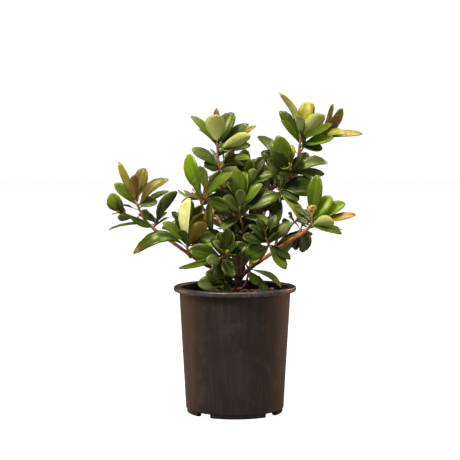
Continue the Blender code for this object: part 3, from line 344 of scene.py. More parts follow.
# Each shoot: its tip, the middle and the room of the space that it keeps to, in millimetres, and
# the leaves aimed from it, lowest first. An aim is the bearing of a leaf from straight up to the
# right, its lean to the front, its length and width in millimetres, how far its upper side turns
# to the front, and its bow where that is strong. dealt is how many more leaves the golden angle
# deals round the shoot, their length, and the bearing and lean of the side that they favour. A
# side shoot also has the share of the mass's stem at which it forks, and a mass at the trunk's
# foot the place that its stem leaves it at.
MASSES = {
    "leaves_upper_left": dict(bough="bough_left_leader", shoots=(
        dict(tip=(-24, 7, 362), middle=(-24, 8, 382), room=56, dealt=(4, 34, 40, -80), aims=(
            (55, -20, 67, 10, 0.9), (62, 18, 52, 16, -2.0), (73, 5, 45, 14, 1.5),
            (64, 0, 54, 16, 1.2), (-40, -5, 55, 12, 0.6, 0.4), (24, -12, 51, 22, 2.5),
            (-5, 22, 44, 25, 0), (1, -16, 48, 9, 0))),
        dict(fork=0.1, tip=(-14, 10, 334), middle=(-10, 12, 344), room=44,
             dealt=(5, 38, 20, -50), aims=(
            (170, 30, 24, 14, 1.0), (-95, 22, 26, 20, 1.0), (-56, 12, 47, 15, 1.2),
            (75, 15, 41, 17, 0.8, 0.35), (36, 10, 30, 13, 1.4), (66, 32, 36, 16, -1.5))),
    )),
    "leaves_centre": dict(bough="bough_centre", shoots=(
        dict(tip=(7, -6, 277), middle=(6, -14, 284), room=50, dealt=(7, 40, 0, 30), aims=(
            (-119, 30, 34, 16, 0.8), (-68, 25, 34, 16, 0.9), (104, 25, 46, 16, 1.0),
            (-45, 30, 36, 18, 1.5), (65, 10, 58, 19, 1.5), (38, 5, 46, 17, 1.5),
            (8, -8, 52, 15, 2.5), (-6, 4, 53, 19, 2.5))),
        dict(fork=0.3, tip=(17, 12, 310), middle=(18, 13, 318), room=50,
             dealt=(8, 42, 0, -30), aims=(
            (-62, 8, 34, 11, 0.5), (100, 25, 36, 15, 1.2), (66, 15, 42, 17, 1.4),
            (8, 12, 34, 16, 2.0), (36, -4, 42, 17, 2.0), (-24, -10, 42, 16, 2.0))),
        dict(fork=0.15, tip=(-45, -14, 291), middle=(-54, -14, 312), room=54,
             dealt=(6, 42, 0, 20), aims=(
            (177, 15, 42, 19, 0.9), (145, 5, 42, 16, 1.4), (110, 25, 38, 18, 1.0),
            (88, 0, 42, 18, 1.4), (-70, 15, 30, 12, 0.5), (49, 10, 52, 15, 0.9),
            (-18, -8, 60, 20, 2.0))),
    )),
    "leaves_upper_right": dict(bough="bough_right_leader", shoots=(
        dict(tip=(89, 23, 372), middle=(86, 22, 396), room=56, dealt=(4, 38, -10, -50), aims=(
            (95, 5, 31, 14, 1.2), (76, 20, 49, 15, 1.5), (-39, 8, 41, 16, 1.0),
            (60, 25, 54, 13, 1.0), (-35, -12, 50, 18, 1.2), (41, 14, 48, 22, -2.0),
            (20, -20, 53, 13, 1.0), (-26, 4, 67, 14, -0.6, 0.45), (12, -8, 48, 18, 2.0))),
        dict(fork=0.6, tip=(114, 26, 369), middle=(124, 26, 384), room=56,
             dealt=(4, 36, 20, -50), aims=(
            (82, 0, 66, 12, 0.9, 0.25), (76, 14, 44, 15, 1.2), (53, 12, 45, 17, 1.5),
            (46, -8, 55, 15, 1.4), (24, -14, 51, 10, 0.5))),
        dict(fork=0.18, tip=(72, 6, 327), middle=(58, 6, 346), room=50,
             dealt=(5, 40, -20, 20), aims=(
            (-41, -12, 70, 13, 0.5, 1.3), (-52, -4, 50, 18, 1.0), (73, 0, 52, 15, 0.8, 1.0),
            (107, 12, 46, 11, 0.6, 0.4), (-63, 35, 42, 18, 1.2), (-45, 30, 46, 19, 1.8),
            (-35, 12, 50, 22, 1.5), (8, -10, 34, 13, 0.6))),
    )),
    "leaves_mid_right": dict(bough="bough_mid_right", shoots=(
        dict(tip=(61, 1, 304), middle=(78, 4, 292), room=50, dealt=(6, 38, 0, -60), aims=(
            (144, 15, 54, 15, 1.0, 0.3), (-167, 25, 50, 15, 0.9), (-140, 10, 38, 17, 1.4),
            (118, 22, 30, 13, 1.2), (92, -6, 45, 28, 1.2), (66, -15, 54, 15, 0.8))),
    )),
    "leaves_right": dict(bough="bough_lower_right", shoots=(
        dict(tip=(102, -28, 264), middle=(122, -32, 280), room=54, dealt=(5, 34, 0, -70), aims=(
            (102, 12, 43, 12, 1.0), (92, 30, 38, 16, -1.5), (78, 0, 60, 12, 0.6, 0.1),
            (60, -10, 52, 17, 1.3), (38, -5, 42, 18, 1.5), (9, -14, 60, 19, 2.0),
            (18, 22, 26, 16, 0))),
    )),
    "leaves_right_low": dict(bough="bough_right_low", shoots=(
        dict(tip=(89, -3, 249), middle=(98, -4, 236), room=50, dealt=(3, 30, 0, -60), aims=(
            (-135, -22, 51, 28, 0.8), (86, 8, 56, 12, 0.8, 0.3), (166, -30, 36, 22, 1.8),
            (-150, -28, 42, 22, 1.8))),
    )),
    "leaves_far_left": dict(bough="bough_lower_left", shoots=(
        dict(tip=(-132, -26, 287), middle=(-130, -24, 302), room=56, dealt=(3, 32, 10, -80), aims=(
            (58, -12, 46, 11, 0.6), (47, 6, 55, 18, 1.0, 0.5), (-47, 8, 43, 18, 1.2),
            (78, 26, 29, 15, 1.5, 0.3), (-22, -6, 60, 9, 0.8), (13, -10, 47, 18, 2.0),
            (-2, 18, 37, 12, -2.0))),
        dict(fork=0.06, tip=(-148, -28, 270), middle=(-154, -28, 268), room=56,
             dealt=(3, 26, 0, -70), aims=(
            (116, 12, 37, 9, 0.8), (-36, 5, 33, 21, 1.5), (-10, 34, 24, 13, 1.2))),
        dict(fork=0.02, tip=(-104, -18, 258), middle=(-104, -16, 262), room=40,
             dealt=(3, 30, 20, -50), aims=(
            (-87, 14, 62, 12, 0.6, 0.2), (-48, 8, 26, 13, 1.2), (37, -5, 50, 14, 0.6, 0.95))),
    )),
    "leaves_left_inner": dict(bough="bough_left_inner", shoots=(
        dict(tip=(-63, -22, 232), middle=(-72, -24, 236), room=58, dealt=(4, 36, -30, 30), aims=(
            (-93, 8, 72, 19, 0.6, 1.6), (3, 10, 68, 24, 1.0), (25, 26, 46, 19, -2.5),
            (87, 12, 56, 13, 0.9, 0.2), (-46, 8, 45, 17, 1.0), (66, 4, 49, 22, 1.5),
            (45, -10, 48, 25, 0.8), (-25, -25, 50, 18, 0.9), (-17, -15, 54, 18, 0.8))),
    )),
    "leaves_front_left": dict(bough="bough_front_left", shoots=(
        dict(tip=(-15, -54, 216), middle=(-16, -64, 214), room=42, dealt=(8, 38, 0, 20), aims=(
            (-102, 18, 63, 8, 0.7, 0.8), (-160, 30, 32, 17, 0.9), (150, 35, 34, 18, 0.6),
            (-76, 14, 46, 20, 1.2), (62, 20, 38, 18, 0.9), (8, 10, 38, 16, 1.2))),
    )),
    "leaves_front_right": dict(bough="bough_front_right", shoots=(
        dict(tip=(42, -50, 238), middle=(44, -62, 238), room=42, dealt=(7, 36, 10, 10), aims=(
            (-112, 15, 34, 22, 1.2), (144, 16, 40, 14, 0.9), (124, 14, 36, 11, 0.7),
            (-76, 14, 36, 15, 1.3), (50, 5, 41, 14, 1.3), (18, -4, 35, 12, 1.2),
            (-28, 14, 32, 14, 1.4))),
    )),
    "leaves_low_left": dict(bough="trunk", leaves_at=(-1.8, -4.2, 165.5), shoots=(
        dict(tip=(-14, -26, 180), middle=(-26, -38, 172), room=36, dealt=(4, 28, -40, 30), aims=(
            (-88, 12, 38, 18, 1.3), (-60, 18, 31, 20, 1.5), (165, 25, 22, 12, 0.9),
            (50, 20, 22, 11, 1.0))),
    )),
    "leaves_low_right": dict(bough="trunk", leaves_at=(4.6, -4.9, 167), shoots=(
        dict(tip=(20, -25, 196), middle=(36, -38, 182), room=38, dealt=(2, 24, 40, 60), aims=(
            (150, 30, 22, 12, 0.9), (136, 14, 40, 11, 0.8), (117, 8, 48, 10, 0.4, 0.45))),
    )),
    "leaves_back_left": dict(bough="bough_back_left", shoots=(
        dict(tip=(-26, 86, 294), middle=(-26, 92, 302), room=54, dealt=(14, 42, 10, -60), aims=()),
        dict(fork=0.3, tip=(-52, 78, 262), middle=(-58, 86, 258), room=42,
             dealt=(8, 38, 0, -75), aims=()),
    )),
    "leaves_back_right": dict(bough="bough_back_right", shoots=(
        dict(tip=(52, 84, 306), middle=(52, 90, 314), room=56, dealt=(14, 44, 0, -40), aims=()),
        dict(fork=0.3, tip=(66, 78, 300), middle=(72, 84, 298), room=48,
             dealt=(9, 40, 10, -60), aims=()),
    )),
    "leaves_back_high": dict(bough="bough_back_high", shoots=(
        dict(tip=(11, 62, 312), middle=(10, 66, 316), room=48, dealt=(13, 42, 0, -50), aims=()),
    )),
    "leaves_side_left": dict(bough="bough_side_left", shoots=(
        dict(tip=(-66, 48, 248), middle=(-72, 50, 246), room=46, dealt=(12, 40, -20, -50), aims=()),
    )),
    "leaves_side_right": dict(bough="bough_side_right", shoots=(
        dict(tip=(102, 54, 260), middle=(110, 58, 262), room=42, dealt=(12, 32, 50, -50), aims=()),
    )),
    "leaves_back_low": dict(bough="bough_back_low", shoots=(
        dict(tip=(-10, 88, 246), middle=(-12, 98, 246), room=50, dealt=(13, 42, -20, -50), aims=()),
        dict(fork=0.3, tip=(26, 84, 228), middle=(34, 94, 224), room=44,
             dealt=(8, 38, 30, -50), aims=()),
    )),
}


def wall_radius(height):
    """The pot's outer radius at a height between the step and the rim."""
    share = (height - STEP_HEIGHT) / (RIM_TOP - RIM_ROLL - STEP_HEIGHT)
    return BODY_FOOT_RADIUS + share * (BODY_TOP_RADIUS - BODY_FOOT_RADIUS)


def smooth_route(points, per_stretch=RINGS_PER_STRETCH):
    """Points along a Catmull-Rom curve through the given ones."""
    row = [2 * points[0] - points[1], *points, 2 * points[-1] - points[-2]]
    route = []
    for a, b, c, d in zip(row, row[1:], row[2:], row[3:]):
        for step in range(per_stretch):
            t = step / per_stretch
            square = (2 * a - 5 * b + 4 * c - d) * t**2
            cube = (3 * b - a - 3 * c + d) * t**3
            route.append((2 * b + (c - a) * t + square + cube) / 2)
    return route + [points[-1]]


def directions_along(route):
    ends = [route[0]] + list(route) + [route[-1]]
    return [(after - before).normalized() for before, after in zip(ends, ends[2:])]


def tube(route, radii, sides):
    """A closed tube round a route: one ring of vertices a point, bridged to the next."""
    bm = bmesh.new()
    turn = Vector((0, 0, 1)).rotation_difference(directions_along(route)[0])
    last_direction = directions_along(route)[0]
    ring_before = None
    for number, (point, direction, radius) in enumerate(zip(route, directions_along(route), radii)):
        turn = last_direction.rotation_difference(direction) @ turn
        last_direction = direction
        place = Matrix.Translation(point) @ turn.to_matrix().to_4x4()
        capped = number in (0, len(route) - 1)
        made = bmesh.ops.create_circle(
            bm, cap_ends=capped, segments=sides, radius=radius, matrix=place
        )
        ring = list({edge for vert in made["verts"] for edge in vert.link_edges})
        if ring_before:
            bmesh.ops.bridge_loops(bm, edges=ring_before + ring)
        ring_before = ring
    bmesh.ops.triangulate(bm, faces=bm.faces)
    return facing_out(bm)


def facing_out(bm):
    bmesh.ops.recalc_face_normals(bm, faces=bm.faces)
    if bm.calc_volume(signed=True) < 0:
        bmesh.ops.reverse_faces(bm, faces=bm.faces)
    return bm


def limb_shape(spec):
    """A limb's smooth route, and its radius at each point of it."""
    route = smooth_route([Vector(point) * MM for point in spec["route"]])
    return route, tapering(spec["thick"] * MM / 2, spec["thin"] * MM / 2, len(route))


def tapering(first, last, count):
    return [first + (last - first) * number / (count - 1) for number in range(count)]


def flared(route, radii):
    """The trunk's radii, widened towards its foot."""
    widened = []
    for point, radius in zip(route, radii):
        above = (point.z - GROUND) / FLARE_HEIGHT
        widened.append(radius + (FLARE_RADIUS - radius) * math.exp(-FLARE_FADE * above))
    return widened


def limb_shapes():
    shapes = {"trunk": limb_shape(TRUNK)}
    shapes["trunk"] = (shapes["trunk"][0], flared(*shapes["trunk"]))
    for name, spec in BOUGHS.items():
        shapes[name] = limb_shape(spec)
    return shapes


def limb_distance(points, limb):
    """The least distance from a set of points to a limb's surface."""
    route, radii = limb
    start = np.array([tuple(point) for point in route[:-1]])
    end = np.array([tuple(point) for point in route[1:]])
    along = end - start
    offset = points[:, None, :] - start[None]
    share = np.clip((offset * along).sum(-1) / (along * along).sum(-1), 0, 1)
    nearest = start + share[..., None] * along
    radius = np.array(radii[:-1]) * (1 - share) + np.array(radii[1:]) * share
    gap = np.linalg.norm(points[:, None, :] - nearest, axis=-1) - radius
    return gap.min()


def aimed(bearing, lean):
    """The direction at a bearing from straight up to the right, leaning to the front."""
    bearing, lean = math.radians(bearing), math.radians(lean)
    flat = Vector((math.sin(bearing), 0, math.cos(bearing)))
    return (flat * math.cos(lean) + VIEWER * math.sin(lean)).normalized()


def upper_side(direction, axis, face):
    """The way a leaf's upper side looks: in and up the shoot, turned to the front by face."""
    outward = (direction - axis * direction.dot(axis)).normalized()
    opening = direction.angle(axis)
    side = axis * math.sin(opening) - outward * math.cos(opening) + VIEWER * face
    side -= direction * side.dot(direction)
    return side.normalized()


def leaf_point(leaf, along, across, thick, thicker=0):
    """A point of the leaf: along from root to tip, across from -1 to 1, thick from -1 to 1."""
    root, direction, side, length, width, bow = leaf
    sideways = direction.cross(side)
    half = width / 2 * np.interp(along, (0, *LEAF_STATIONS, 1), (0, *LEAF_WIDTHS, 0))
    lift = length * bow * along * (1 - along) + abs(across) * half * math.sin(LEAF_FOLD)
    body = (length * LEAF_THICK / 2 + thicker) * thick * (1 if 0 < along < 1 else 0)
    return root + direction * (length * along) + side * (lift + body) + sideways * (
        across * half * math.cos(LEAF_FOLD)
    )


def leaf_mesh(leaf, thicker=0):
    """A ball of three segments and four rings, its poles drawn out to the leaf's root and tip.

    Each ring becomes the blade's two edges and the rib under it.
    """
    bm = bmesh.new()
    bmesh.ops.create_uvsphere(bm, u_segments=3, v_segments=4, radius=1)
    shares = (0, *LEAF_STATIONS, 1)
    for vert in bm.verts:
        ring = round(4 * math.acos(max(-1, min(1, vert.co.z))) / math.pi)
        corner = round(3 * math.atan2(vert.co.y, vert.co.x) / (2 * math.pi)) % 3
        across, thick = ((0, -1), (1, 0), (-1, 0))[corner]
        vert.co = leaf_point(leaf, shares[ring], across, thick, thicker)
    bmesh.ops.triangulate(bm, faces=bm.faces)
    return facing_out(bm)


def leaf_samples(leaf):
    """Points all over both sides of a leaf."""
    rows, columns = LEAF_SAMPLES
    grid = [
        leaf_point(leaf, along, across, thick)
        for along in np.linspace(0, 1, rows)
        for across in np.linspace(-1, 1, columns)
        for thick in (-1, 1)
    ]
    return np.array([tuple(point) for point in grid])


def nearness(points, shoot):
    """How near each point is to a shoot's space: its squared distance, less the room's."""
    away = points - np.array(shoot["middle"]) * MM
    return (away * away).sum(1) - (shoot["room"] * MM) ** 2


def in_space(points, name):
    """Whether every point is in this mass's space, or not far into a neighbour's."""
    own = np.min([nearness(points, shoot) for shoot in MASSES[name]["shoots"]], axis=0)
    home = np.mean([shoot["middle"] for shoot in MASSES[name]["shoots"]], axis=0)
    for other, spec in MASSES.items():
        if other == name:
            continue
        for shoot in spec["shoots"]:
            apart = np.linalg.norm(home - shoot["middle"]) * MM
            if (nearness(points, shoot) - own).min() < -2 * apart * LET_OUT:
                return False
    return True


def clear_of_pot(points):
    level = np.hypot(points[:, 0], points[:, 1])
    inside = level < wall_radius(SOIL_TOP) - WALL - RIM_CLEAR
    over = (level < RIM_RADIUS + RIM_CLEAR) & ~inside
    low = points[inside, 2].min(initial=1) < SOIL_TOP + SOIL_CLEAR
    return not low and points[over, 2].min(initial=1) > RIM_TOP + RIM_CLEAR


def leaf_tree(leaf, swell=0, blade=False):
    """The leaf's mesh for clearance tests, swollen where asked, or its blade without the stalk."""
    root, direction, side, length, width, bow = leaf
    bm = leaf_mesh((root, direction, side, length + swell, width + 2 * swell, bow), thicker=swell)
    if blade:
        stalk = min(bm.verts, key=lambda vert: (vert.co - root).length)
        bmesh.ops.delete(bm, geom=[stalk], context="VERTS")
    tree = BVHTree.FromBMesh(bm)
    bm.free()
    return tree


def fits(leaf, name, limbs, stands, own):
    """Whether a leaf keeps to its mass's space, clear of pot, limbs and other leaves."""
    points = leaf_samples(leaf)
    if not in_space(points, name) or not clear_of_pot(points):
        return False
    if any(limb_distance(points, limb) < LIMB_CLEAR for limb in limbs):
        return False
    swollen = leaf_tree(leaf, SWELL)
    others = [tree for other, trees in stands.items() if other != name for tree in trees]
    if any(swollen.overlap(tree) for tree in others):
        return False
    blade = leaf_tree(leaf, blade=True)
    return not any(blade.overlap(tree) for tree in own)


def shoot_route(start, heading, tip):
    """On in the given direction, then bending up to the shoot's tip."""
    away = start + heading * STEM_START
    bend = away + heading * (tip - away).length * STEM_BEND
    curve = [away.lerp(bend, share).lerp(bend.lerp(tip, share), share) for share in (0, 0.25, 0.5)]
    return [start, *curve, curve[-1].lerp(tip, 0.5), tip]


def stretches(route):
    return [(b - a).length for a, b in zip(route, route[1:])]


def at_share(route, share):
    """The point and direction at a share of a route's length."""
    lengths = stretches(route)
    left = share * sum(lengths)
    for (a, b), length in zip(zip(route, route[1:]), lengths):
        if left <= length:
            return a.lerp(b, left / length), (b - a).normalized()
        left -= length
    return route[-1], (route[-1] - route[-2]).normalized()


def root_at(route, share, spread):
    """A leaf's root and the shoot's direction there, a share of the way up its leafy stretch."""
    length = sum(stretches(route))
    leafy = min(spread, length - FIRST_ROOT)
    return at_share(route, 1 - leafy * (1 - share) / length)


def dealt_leaves(route, dealt, chance):
    """Leaves round the shoot by the golden angle, opening wider towards its foot."""
    count, length, bearing, lean = dealt
    favoured = aimed(bearing, lean) * DEALT_FAVOUR
    widest, narrowest = DEALT_OPENINGS
    first = chance.uniform(0, 2 * math.pi)
    for number in range(count):
        share = (number + 0.5) / count
        root, axis = root_at(route, share, DEALT_SPREAD)
        waver = chance.uniform(-DEALT_WAVER, DEALT_WAVER)
        opening = math.radians(widest + (narrowest - widest) * share + waver)
        sideways = axis.orthogonal().normalized()
        around = Matrix.Rotation(first + number * GOLDEN_ANGLE, 3, axis) @ sideways
        direction = (axis * math.cos(opening) + around * math.sin(opening) + favoured).normalized()
        long = length * chance.uniform(*DEALT_LENGTHS) * MM
        wide = long * chance.uniform(*DEALT_WIDTHS)
        yield root, direction, upper_side(direction, axis, 0), long, wide, LEAF_BOW


def aimed_leaves(route, aims):
    for number, (bearing, lean, length, width, face, *bow) in enumerate(aims):
        root, axis = root_at(route, (number + 0.5) / len(aims), ROOT_SPACING * len(aims))
        direction = aimed(bearing, lean)
        side = upper_side(direction, axis, face)
        bowed = bow[0] if bow else LEAF_BOW
        yield root, direction, side, length * MM, LEAF_BROAD * width * MM, bowed


def settled(leaf, *tests):
    """The leaf, nudged aside or drawn in a little where it would not fit, or None."""
    root, direction, side, length, width, bow = leaf
    sideways = direction.cross(side)
    for share in LEAF_TRIES:
        for nudge in NUDGES:
            for way in (side, -side, sideways, -sideways)[: 4 if nudge else 1]:
                aim = (direction + way * nudge).normalized()
                up = (side - aim * side.dot(aim)).normalized()
                tried = (root, aim, up, length * share, width * share, bow)
                if fits(tried, *tests):
                    return tried
    return None


def stem_start(spec, limbs):
    """Where a mass's stem starts, 0.3 mm clear of its limb, its direction and its radius."""
    route, radii = limbs[spec["bough"]]
    if "leaves_at" in spec:
        start = Vector(spec["leaves_at"]) * MM
        middle = Vector((route[2].x, route[2].y, start.z))
        return start, (start - middle).normalized(), SIDE_STEM_RADIUS
    heading = directions_along(route)[-1]
    return route[-1] + heading * GAP, heading, radii[-1]


def grow_shoots(spec, limbs):
    """The routes and radii of a mass's stem and of the side shoots that fork from it."""
    start, heading, radius = stem_start(spec, limbs)
    shoots = []
    for shoot in spec["shoots"]:
        tip = Vector(shoot["tip"]) * MM
        if shoots:
            fork, along = at_share(shoots[0][0], shoot["fork"])
            route = shoot_route(fork, along, tip)
            radius = SIDE_SHOOT_RADIUS
        else:
            route = shoot_route(start, heading, tip)
        shoots.append((route, tapering(radius, SHOOT_TIP_RADIUS, len(route))))
    return shoots


def grow_leaves(name, limbs, all_shoots, stands):
    """The leaves of a mass that fit, aimed ones first, each with the tints that it may have."""
    spec = MASSES[name]
    chance = random.Random(name)
    others = [limb for key, limb in limbs.items() if key != spec["bough"]]
    others += [shoot for other, shoots in all_shoots.items() if other != name for shoot in shoots]
    leaves = []
    own = []
    for number, (shoot, (route, _)) in enumerate(zip(spec["shoots"], all_shoots[name])):
        wanted = [*aimed_leaves(route, shoot["aims"]), *dealt_leaves(route, shoot["dealt"], chance)]
        tints = [*AIM_TINTS[name][number]] if name in AIM_TINTS else []
        count = shoot["dealt"][0]
        old, young = DEALT_TINTS
        tints += [old if place < OLD_SHARE * count else young for place in range(count)]
        for tint, leaf in zip(tints, wanted):
            leaf = settled(leaf, name, others, stands, own)
            if leaf and limb_distance(leaf_samples(leaf), limbs[spec["bough"]]) > GAP:
                leaves.append((leaf, tint))
                own.append(leaf_tree(leaf, blade=True))
    stands[name] = [leaf_tree(leaf) for leaf, _ in leaves]
    return leaves


# Pieces, shader nodes and finishes

def in_scene(name, data):
    """An object of this mesh, light or camera, in the scene."""
    obj = bpy.data.objects.new(name, data)
    bpy.context.scene.collection.objects.link(obj)
    return obj


def loose_object(name, bm):
    """A bmesh made an object, and freed."""
    mesh = bpy.data.meshes.new(name)
    bm.to_mesh(mesh)
    bm.free()
    return in_scene(name, mesh)


def new_piece(name, bm, materials, replaced):
    """A finished piece at the origin, riding on the one body."""
    piece = loose_object(name, bm)
    for made in materials:
        piece.data.materials.append(made)
    piece.data.shade_smooth()
    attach(piece, "root")
    if replaced:
        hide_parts(*replaced)
    return piece


def add_copy(bm, part):
    """Adds one bmesh to another, and frees it."""
    mesh = bpy.data.meshes.new("part")
    part.to_mesh(mesh)
    part.free()
    bm.from_mesh(mesh)
    bpy.data.meshes.remove(mesh)


def add_node(tree, kind, inputs=(), **settings):
    """The outputs of a new node, with its settings and a value or feeding socket for its inputs."""
    node = tree.nodes.new("ShaderNode" + kind)
    for name, value in settings.items():
        setattr(node, name, value)
    for name, value in dict(inputs).items():
        if isinstance(value, bpy.types.NodeSocket):
            tree.links.new(value, node.inputs[name])
        else:
            node.inputs[name].default_value = value
    return node.outputs


def new_group(name, inputs, outputs):
    """A shader group that finishes share: its tree, what it is given and what it puts out."""
    tree = bpy.data.node_groups.new(name, "ShaderNodeTree")
    for way, sockets in (("INPUT", inputs), ("OUTPUT", outputs)):
        for socket, kind in sockets.items():
            tree.interface.new_socket(socket, in_out=way, socket_type="NodeSocket" + kind)
    return tree, tree.nodes.new("NodeGroupInput").outputs, tree.nodes.new("NodeGroupOutput").inputs


def mottle_group():
    """Two colours in soft clouds, with the clouds' mask for roughness."""
    tree, given, wanted = new_group(
        "mottle", dict(Light="Color", Dark="Color", Scale="Float", Low="Float", High="Float"),
        dict(Color="Color", Mask="Float"),
    )
    place = add_node(tree, "TexCoord")["Object"]
    cloud = add_node(tree, "TexNoise", {
        "Vector": place, "Scale": given["Scale"], "Detail": 5, "Roughness": 0.6,
    })
    mask = add_node(tree, "MapRange", {
        "Value": cloud["Fac"], "From Min": given["Low"], "From Max": given["High"],
    })["Result"]
    blend = add_node(
        tree, "Mix", {"Factor": mask, "A": given["Dark"], "B": given["Light"]}, data_type="RGBA"
    )
    tree.links.new(blend["Result"], wanted["Color"])
    tree.links.new(mask, wanted["Mask"])
    return tree


def grain_group():
    """Fine bumps, drawn out along the height where Squeeze is under one."""
    tree, given, wanted = new_group(
        "fine grain", dict(Scale="Float", Squeeze="Float"), dict(Height="Float")
    )
    place = add_node(tree, "TexCoord")["Object"]
    apart = add_node(tree, "SeparateXYZ", {"Vector": place})
    level = add_node(tree, "Math", {0: apart["Z"], 1: given["Squeeze"]}, operation="MULTIPLY")
    again = add_node(tree, "CombineXYZ", {
        "X": apart["X"], "Y": apart["Y"], "Z": level["Value"],
    })
    cloud = add_node(tree, "TexNoise", {
        "Vector": again["Vector"], "Scale": given["Scale"], "Detail": 6, "Roughness": 0.65,
    })
    tree.links.new(cloud["Fac"], wanted["Height"])
    return tree


def veins_group():
    """Where a leaf's rib, veins, margin and tip lie, by how far along and across a point is."""
    tree, given, wanted = new_group(
        "leaf veins",
        {"Veins": "Float", "Slant": "Float", "Rib Width": "Float", "Margin Start": "Float"},
        dict(Rib="Float", Vein="Float", Margin="Float", Tip="Float"),
    )

    def worked_out(operation, *values):
        return add_node(tree, "Math", enumerate(values), operation=operation)["Value"]

    place = add_node(tree, "UVMap", uv_map="blade")["UV"]
    apart = add_node(tree, "SeparateXYZ", {"Vector": place})
    across = worked_out("ABSOLUTE", worked_out("MULTIPLY_ADD", apart["Y"], 2, -1))
    slanted = worked_out("SUBTRACT", apart["X"], worked_out("MULTIPLY", across, given["Slant"]))
    wave = worked_out("PINGPONG", worked_out("MULTIPLY", slanted, given["Veins"]), 0.5)
    for name, value, low, high, below, above in (
        ("Rib", across, 0, given["Rib Width"], 1, 0), ("Vein", wave, 0.02, 0.13, 1, 0),
        ("Margin", across, given["Margin Start"], 1, 0, 1), ("Tip", apart["X"], 0.3, 1, 0, 1),
    ):
        limits = {"From Min": low, "From Max": high, "To Min": below, "To Max": above}
        fade = add_node(
            tree, "MapRange", {"Value": value, **limits}, interpolation_type="SMOOTHSTEP"
        )
        tree.links.new(fade["Result"], wanted[name])
    return tree


def add_clouds(made, clouds, **colours):
    """Clouds in a finish: their scale, and where they start and end."""
    inputs = dict(zip(("Scale", "Low", "High"), clouds), **colours)
    return add_node(made.node_tree, "Group", inputs, node_tree=MOTTLE)


def add_grain(made, scale, squeeze):
    inputs = {"Scale": scale, "Squeeze": squeeze}
    return add_node(made.node_tree, "Group", inputs, node_tree=GRAIN)["Height"]


def finish(name, light, dark, clouds, roughness, grain, **sockets):
    """A surface in two clouded colours, its roughness following the clouds, with a fine bump.

    clouds is their scale and where they start and end, roughness its value in the dark and the
    light clouds, and grain the bumps' scale, their squeeze along the height, strength and depth.
    """
    made = bpy.data.materials.new(name)
    made.use_nodes = True
    made.diffuse_color = (*light, 1)
    tree = made.node_tree
    surface = tree.nodes["Principled BSDF"].inputs
    for socket, value in sockets.items():
        surface[socket.replace("_", " ").title().replace("Ior", "IOR")].default_value = value
    mottle = add_clouds(made, clouds, Light=(*light, 1), Dark=(*dark, 1))
    dull, shiny = roughness
    polish = add_node(tree, "MapRange", {"Value": mottle["Mask"], "To Min": dull, "To Max": shiny})
    scale, squeeze, strength, depth = grain
    bump = add_node(tree, "Bump", {
        "Height": add_grain(made, scale, squeeze), "Strength": strength, "Distance": depth,
    })
    tree.links.new(mottle["Color"], surface["Base Color"])
    tree.links.new(polish["Result"], surface["Roughness"])
    tree.links.new(bump["Normal"], surface["Normal"])
    return made


def lay_over(made, mask, colour):
    """Lays a colour over a finish's own, where a mask says."""
    tree = made.node_tree
    base = tree.nodes["Principled BSDF"].inputs["Base Color"]
    inputs = {"Factor": mask, "A": base.links[0].from_socket, "B": (*colour, 1)}
    layer = add_node(tree, "Mix", inputs, data_type="RGBA")
    tree.links.new(layer["Result"], base)


def add_patches(made, patches):
    """Lays patches of colour over a finish."""
    for *clouds, colour in patches:
        lay_over(made, add_clouds(made, clouds)["Mask"], colour)


def brightened(colour, *by):
    """A colour times one number, or times one for each of its parts, kept under PALEST."""
    return tuple(min(PALEST, share * value) for share, value in zip(by * (3 // len(by)), colour))


# Leaves

def blade_template():
    """A flat leaf closed all round, with how far along, across and through it each point lies."""
    bm = bmesh.new()
    rows = len(BLADE_ROWS) - 1
    bmesh.ops.create_grid(bm, x_segments=rows, y_segments=BLADE_COLUMNS, size=0.5)
    along, across, through = [bm.verts.layers.float.new(name) for name in BLADE_LAYERS]
    for vert in bm.verts:
        vert[along] = BLADE_ROWS[round((vert.co.x + 0.5) * rows)]
        vert[across] = 2 * vert.co.y
        vert[through] = 1
    grown = bmesh.ops.extrude_face_region(bm, geom=bm.faces[:])
    for item in grown["geom"]:
        if isinstance(item, bmesh.types.BMVert):
            item[through] = -1
    unwrapped = bm.loops.layers.uv.new("blade")
    for face in bm.faces:
        face.smooth = True
        face.material_index = int(sum(vert[through] for vert in face.verts) < -3)
        for loop in face.loops:
            loop[unwrapped].uv = (loop.vert[along], 0.5 + loop.vert[across] / 2)
    return bm


def grow_blade(bm, leaf, chance):
    """One leathery blade on the plan of its solid: bowed, folded at the rib and a little wavy."""
    root, direction, side, length, width, bow = leaf
    sideways = direction.cross(side)
    wave, phase = chance.uniform(*WAVE) * MM, chance.uniform(0, 2 * math.pi)
    curl, twist = chance.uniform(*TIP_CURL), math.radians(chance.uniform(-TWIST, TWIST))
    fold = LEAF_FOLD * chance.uniform(*FOLDS)
    blade = TEMPLATE.copy()
    layers = [blade.verts.layers.float[name] for name in BLADE_LAYERS]
    for vert in blade.verts:
        along, across, through = [vert[layer] for layer in layers]
        half = width / 2 * float(np.interp(along, BLADE_ROWS, BLADE_WIDTHS))
        half += STALK_RADIUS * (1 - along)
        level = across * half * math.cos(fold)
        lift = length * bow * along * (1 - along) + abs(across) * half * math.sin(fold)
        lift -= length * curl * max(0, along - CURL_FROM) ** 2
        ripple = math.sin(phase + along * WAVES * math.pi)
        lift += wave * across**2 * ripple * min(1, WAVE_RISE * along)
        level, lift = Matrix.Rotation(twist * along, 2) @ Vector((level, lift))
        thick = BLADE_THICK * (1 - EDGE_THINNED * abs(across))
        thick += (STALK_RADIUS - thick) * max(0, 1 - along / STALK)
        raised = side * (lift + through * thick)
        vert.co = root + direction * (length * along) + raised + sideways * level
    add_copy(bm, facing_out(blade))


